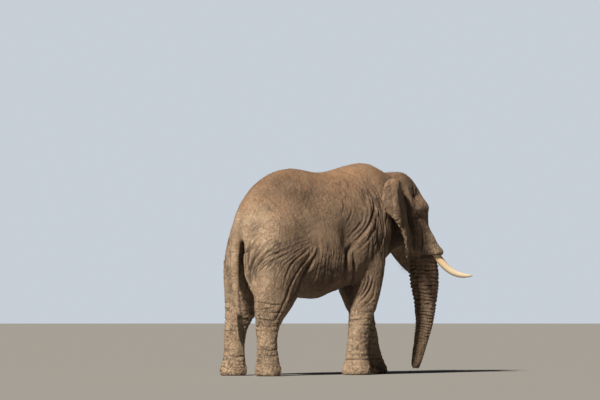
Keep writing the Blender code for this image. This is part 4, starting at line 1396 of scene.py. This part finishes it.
BRISTLY = (  # middle of a patch and its reach in x, y, z, how many, and how long in metres
    ((0.66, 0.0, 3.08), (0.30, 0.26, 0.20), 420, 0.045),
    ((1.02, 0.0, 2.60), (0.26, 0.30, 0.34), 220, 0.028),
    ((0.90, 0.0, 1.74), (0.14, 0.14, 0.20), 330, 0.055),
    ((1.26, 0.0, 1.30), (0.22, 0.24, 0.70), 380, 0.030),
    ((1.12, 0.0, 0.30), (0.16, 0.16, 0.30), 220, 0.022),
    ((-0.80, 0.0, 3.20), (1.50, 0.34, 0.24), 420, 0.040),
    ((-2.30, 0.0, 2.60), (0.34, 0.36, 0.34), 120, 0.035),
)
hide_spots, hide_faces = points_of(hide_mesh) - (WITHERS_X, 0, 0), normals_of(hide_mesh)
sparse = Hairs()
for spot, size, many, long in BRISTLY:
    off = (hide_spots - spot) / size
    share = np.exp(-1.5 * (off**2).sum(axis=1)) * ((off**2).sum(axis=1) < 2.0)
    for index in dice.choice(len(share), many, p=share / share.sum()):
        normal = Vector(hide_faces[index])
        root = Vector(hide_spots[index]) + Vector((WITHERS_X, 0, 0)) - normal * 0.001
        combed = Vector(dice.normal(0, 0.25, 3)) + Vector((-0.30, 0, -0.35))
        length = long * dice.uniform(0.5, 1.15)
        path = [root + (normal * t + combed * t * t) * length for t in np.linspace(0, 1, 4)]
        sparse.add(path, dice.uniform(0.00030, 0.00046))
sparse.piece("sparse_bristles", bristle)

# ---------------------------------------------------------------- where he is seen from
# A still studio: pale floor, one broad warm lamp high behind his right shoulder, and pale
# air that fills the shadows weakly from all round.

FRAME_WIDTH = 9.48
FILM_WIDTH = 36
CAMERA_DISTANCE = 60.0
CAMERA_TURN = math.radians(-40)
CAMERA_HEIGHT = 1.1
AIM = (-1.011, 2.75)  # along the picture and up, from the floor under the hump


def place_camera():
    across = Vector((math.cos(CAMERA_TURN), math.sin(CAMERA_TURN), 0))
    back = Vector((math.sin(CAMERA_TURN), -math.cos(CAMERA_TURN), 0))
    middle = Vector((WITHERS_X, 0, 0)) + across * AIM[0]
    seat = middle + back * CAMERA_DISTANCE + Vector((0, 0, CAMERA_HEIGHT))
    aim = middle + Vector((0, 0, AIM[1]))
    data = bpy.data.cameras.new("camera")
    data.sensor_width = FILM_WIDTH
    data.lens = FILM_WIDTH * CAMERA_DISTANCE / FRAME_WIDTH
    data.clip_end = 500
    camera = stand("camera", data)
    camera.location = seat
    camera.rotation_euler = (aim - seat).to_track_quat("-Z", "Y").to_euler()
    bpy.context.scene.camera = camera


place_camera()

SUN_FROM = (-0.72, -0.29, 0.63)
SUN_STRENGTH, SUN_WIDTH, SUN_COLOUR = 6.7, math.radians(7), (1, 0.93, 0.83)
FLOOR_GREY = (0.275, 0.266, 0.253, 1)
AIR_COLOUR, AIR_STRENGTH = (0.72, 0.83, 1.0, 1), 0.048
BACKDROP = (0.57, 0.62, 0.68, 1)
FLOOR_RADIUS = 160


def sun():
    """One broad warm lamp, far off, high behind his right shoulder."""
    data = bpy.data.lights.new("key", "SUN")
    data.energy, data.angle, data.color = SUN_STRENGTH, SUN_WIDTH, SUN_COLOUR
    lamp = stand("key", data)
    lamp.rotation_euler = Vector(SUN_FROM).to_track_quat("Z", "Y").to_euler()


sun()


def studio():
    """The pale floor and the even pale air round it."""
    bm = bmesh.new()
    bmesh.ops.create_circle(bm, cap_ends=True, segments=96, radius=FLOOR_RADIUS)
    mesh = mesh_from(bm, "floor")
    floor = stand("floor", mesh)
    paint = bpy.data.materials.new("floor_paint")
    paint.use_nodes = True
    shader = paint.node_tree.nodes["Principled BSDF"]
    shader.inputs["Base Color"].default_value = FLOOR_GREY
    shader.inputs["Roughness"].default_value = 0.9
    mesh.materials.append(paint)
    world = bpy.data.worlds.new("pale_air")
    world.use_nodes = True
    m = Mixture(world.node_tree)
    air = world.node_tree.nodes["Background"]
    air.inputs["Color"].default_value = AIR_COLOUR
    air.inputs["Strength"].default_value = AIR_STRENGTH
    backdrop = m.add("ShaderNodeBackground")
    backdrop.inputs["Color"].default_value = BACKDROP
    seen = m.add("ShaderNodeMixShader")
    m.link(m.add("ShaderNodeLightPath").outputs["Is Camera Ray"], seen.inputs[0])
    m.link(air.outputs[0], seen.inputs[1])
    m.link(backdrop.outputs[0], seen.inputs[2])
    m.link(seen.outputs[0], world.node_tree.nodes["World Output"].inputs["Surface"])
    bpy.context.scene.world = world
    bpy.context.scene.view_settings.view_transform = "Standard"


studio()
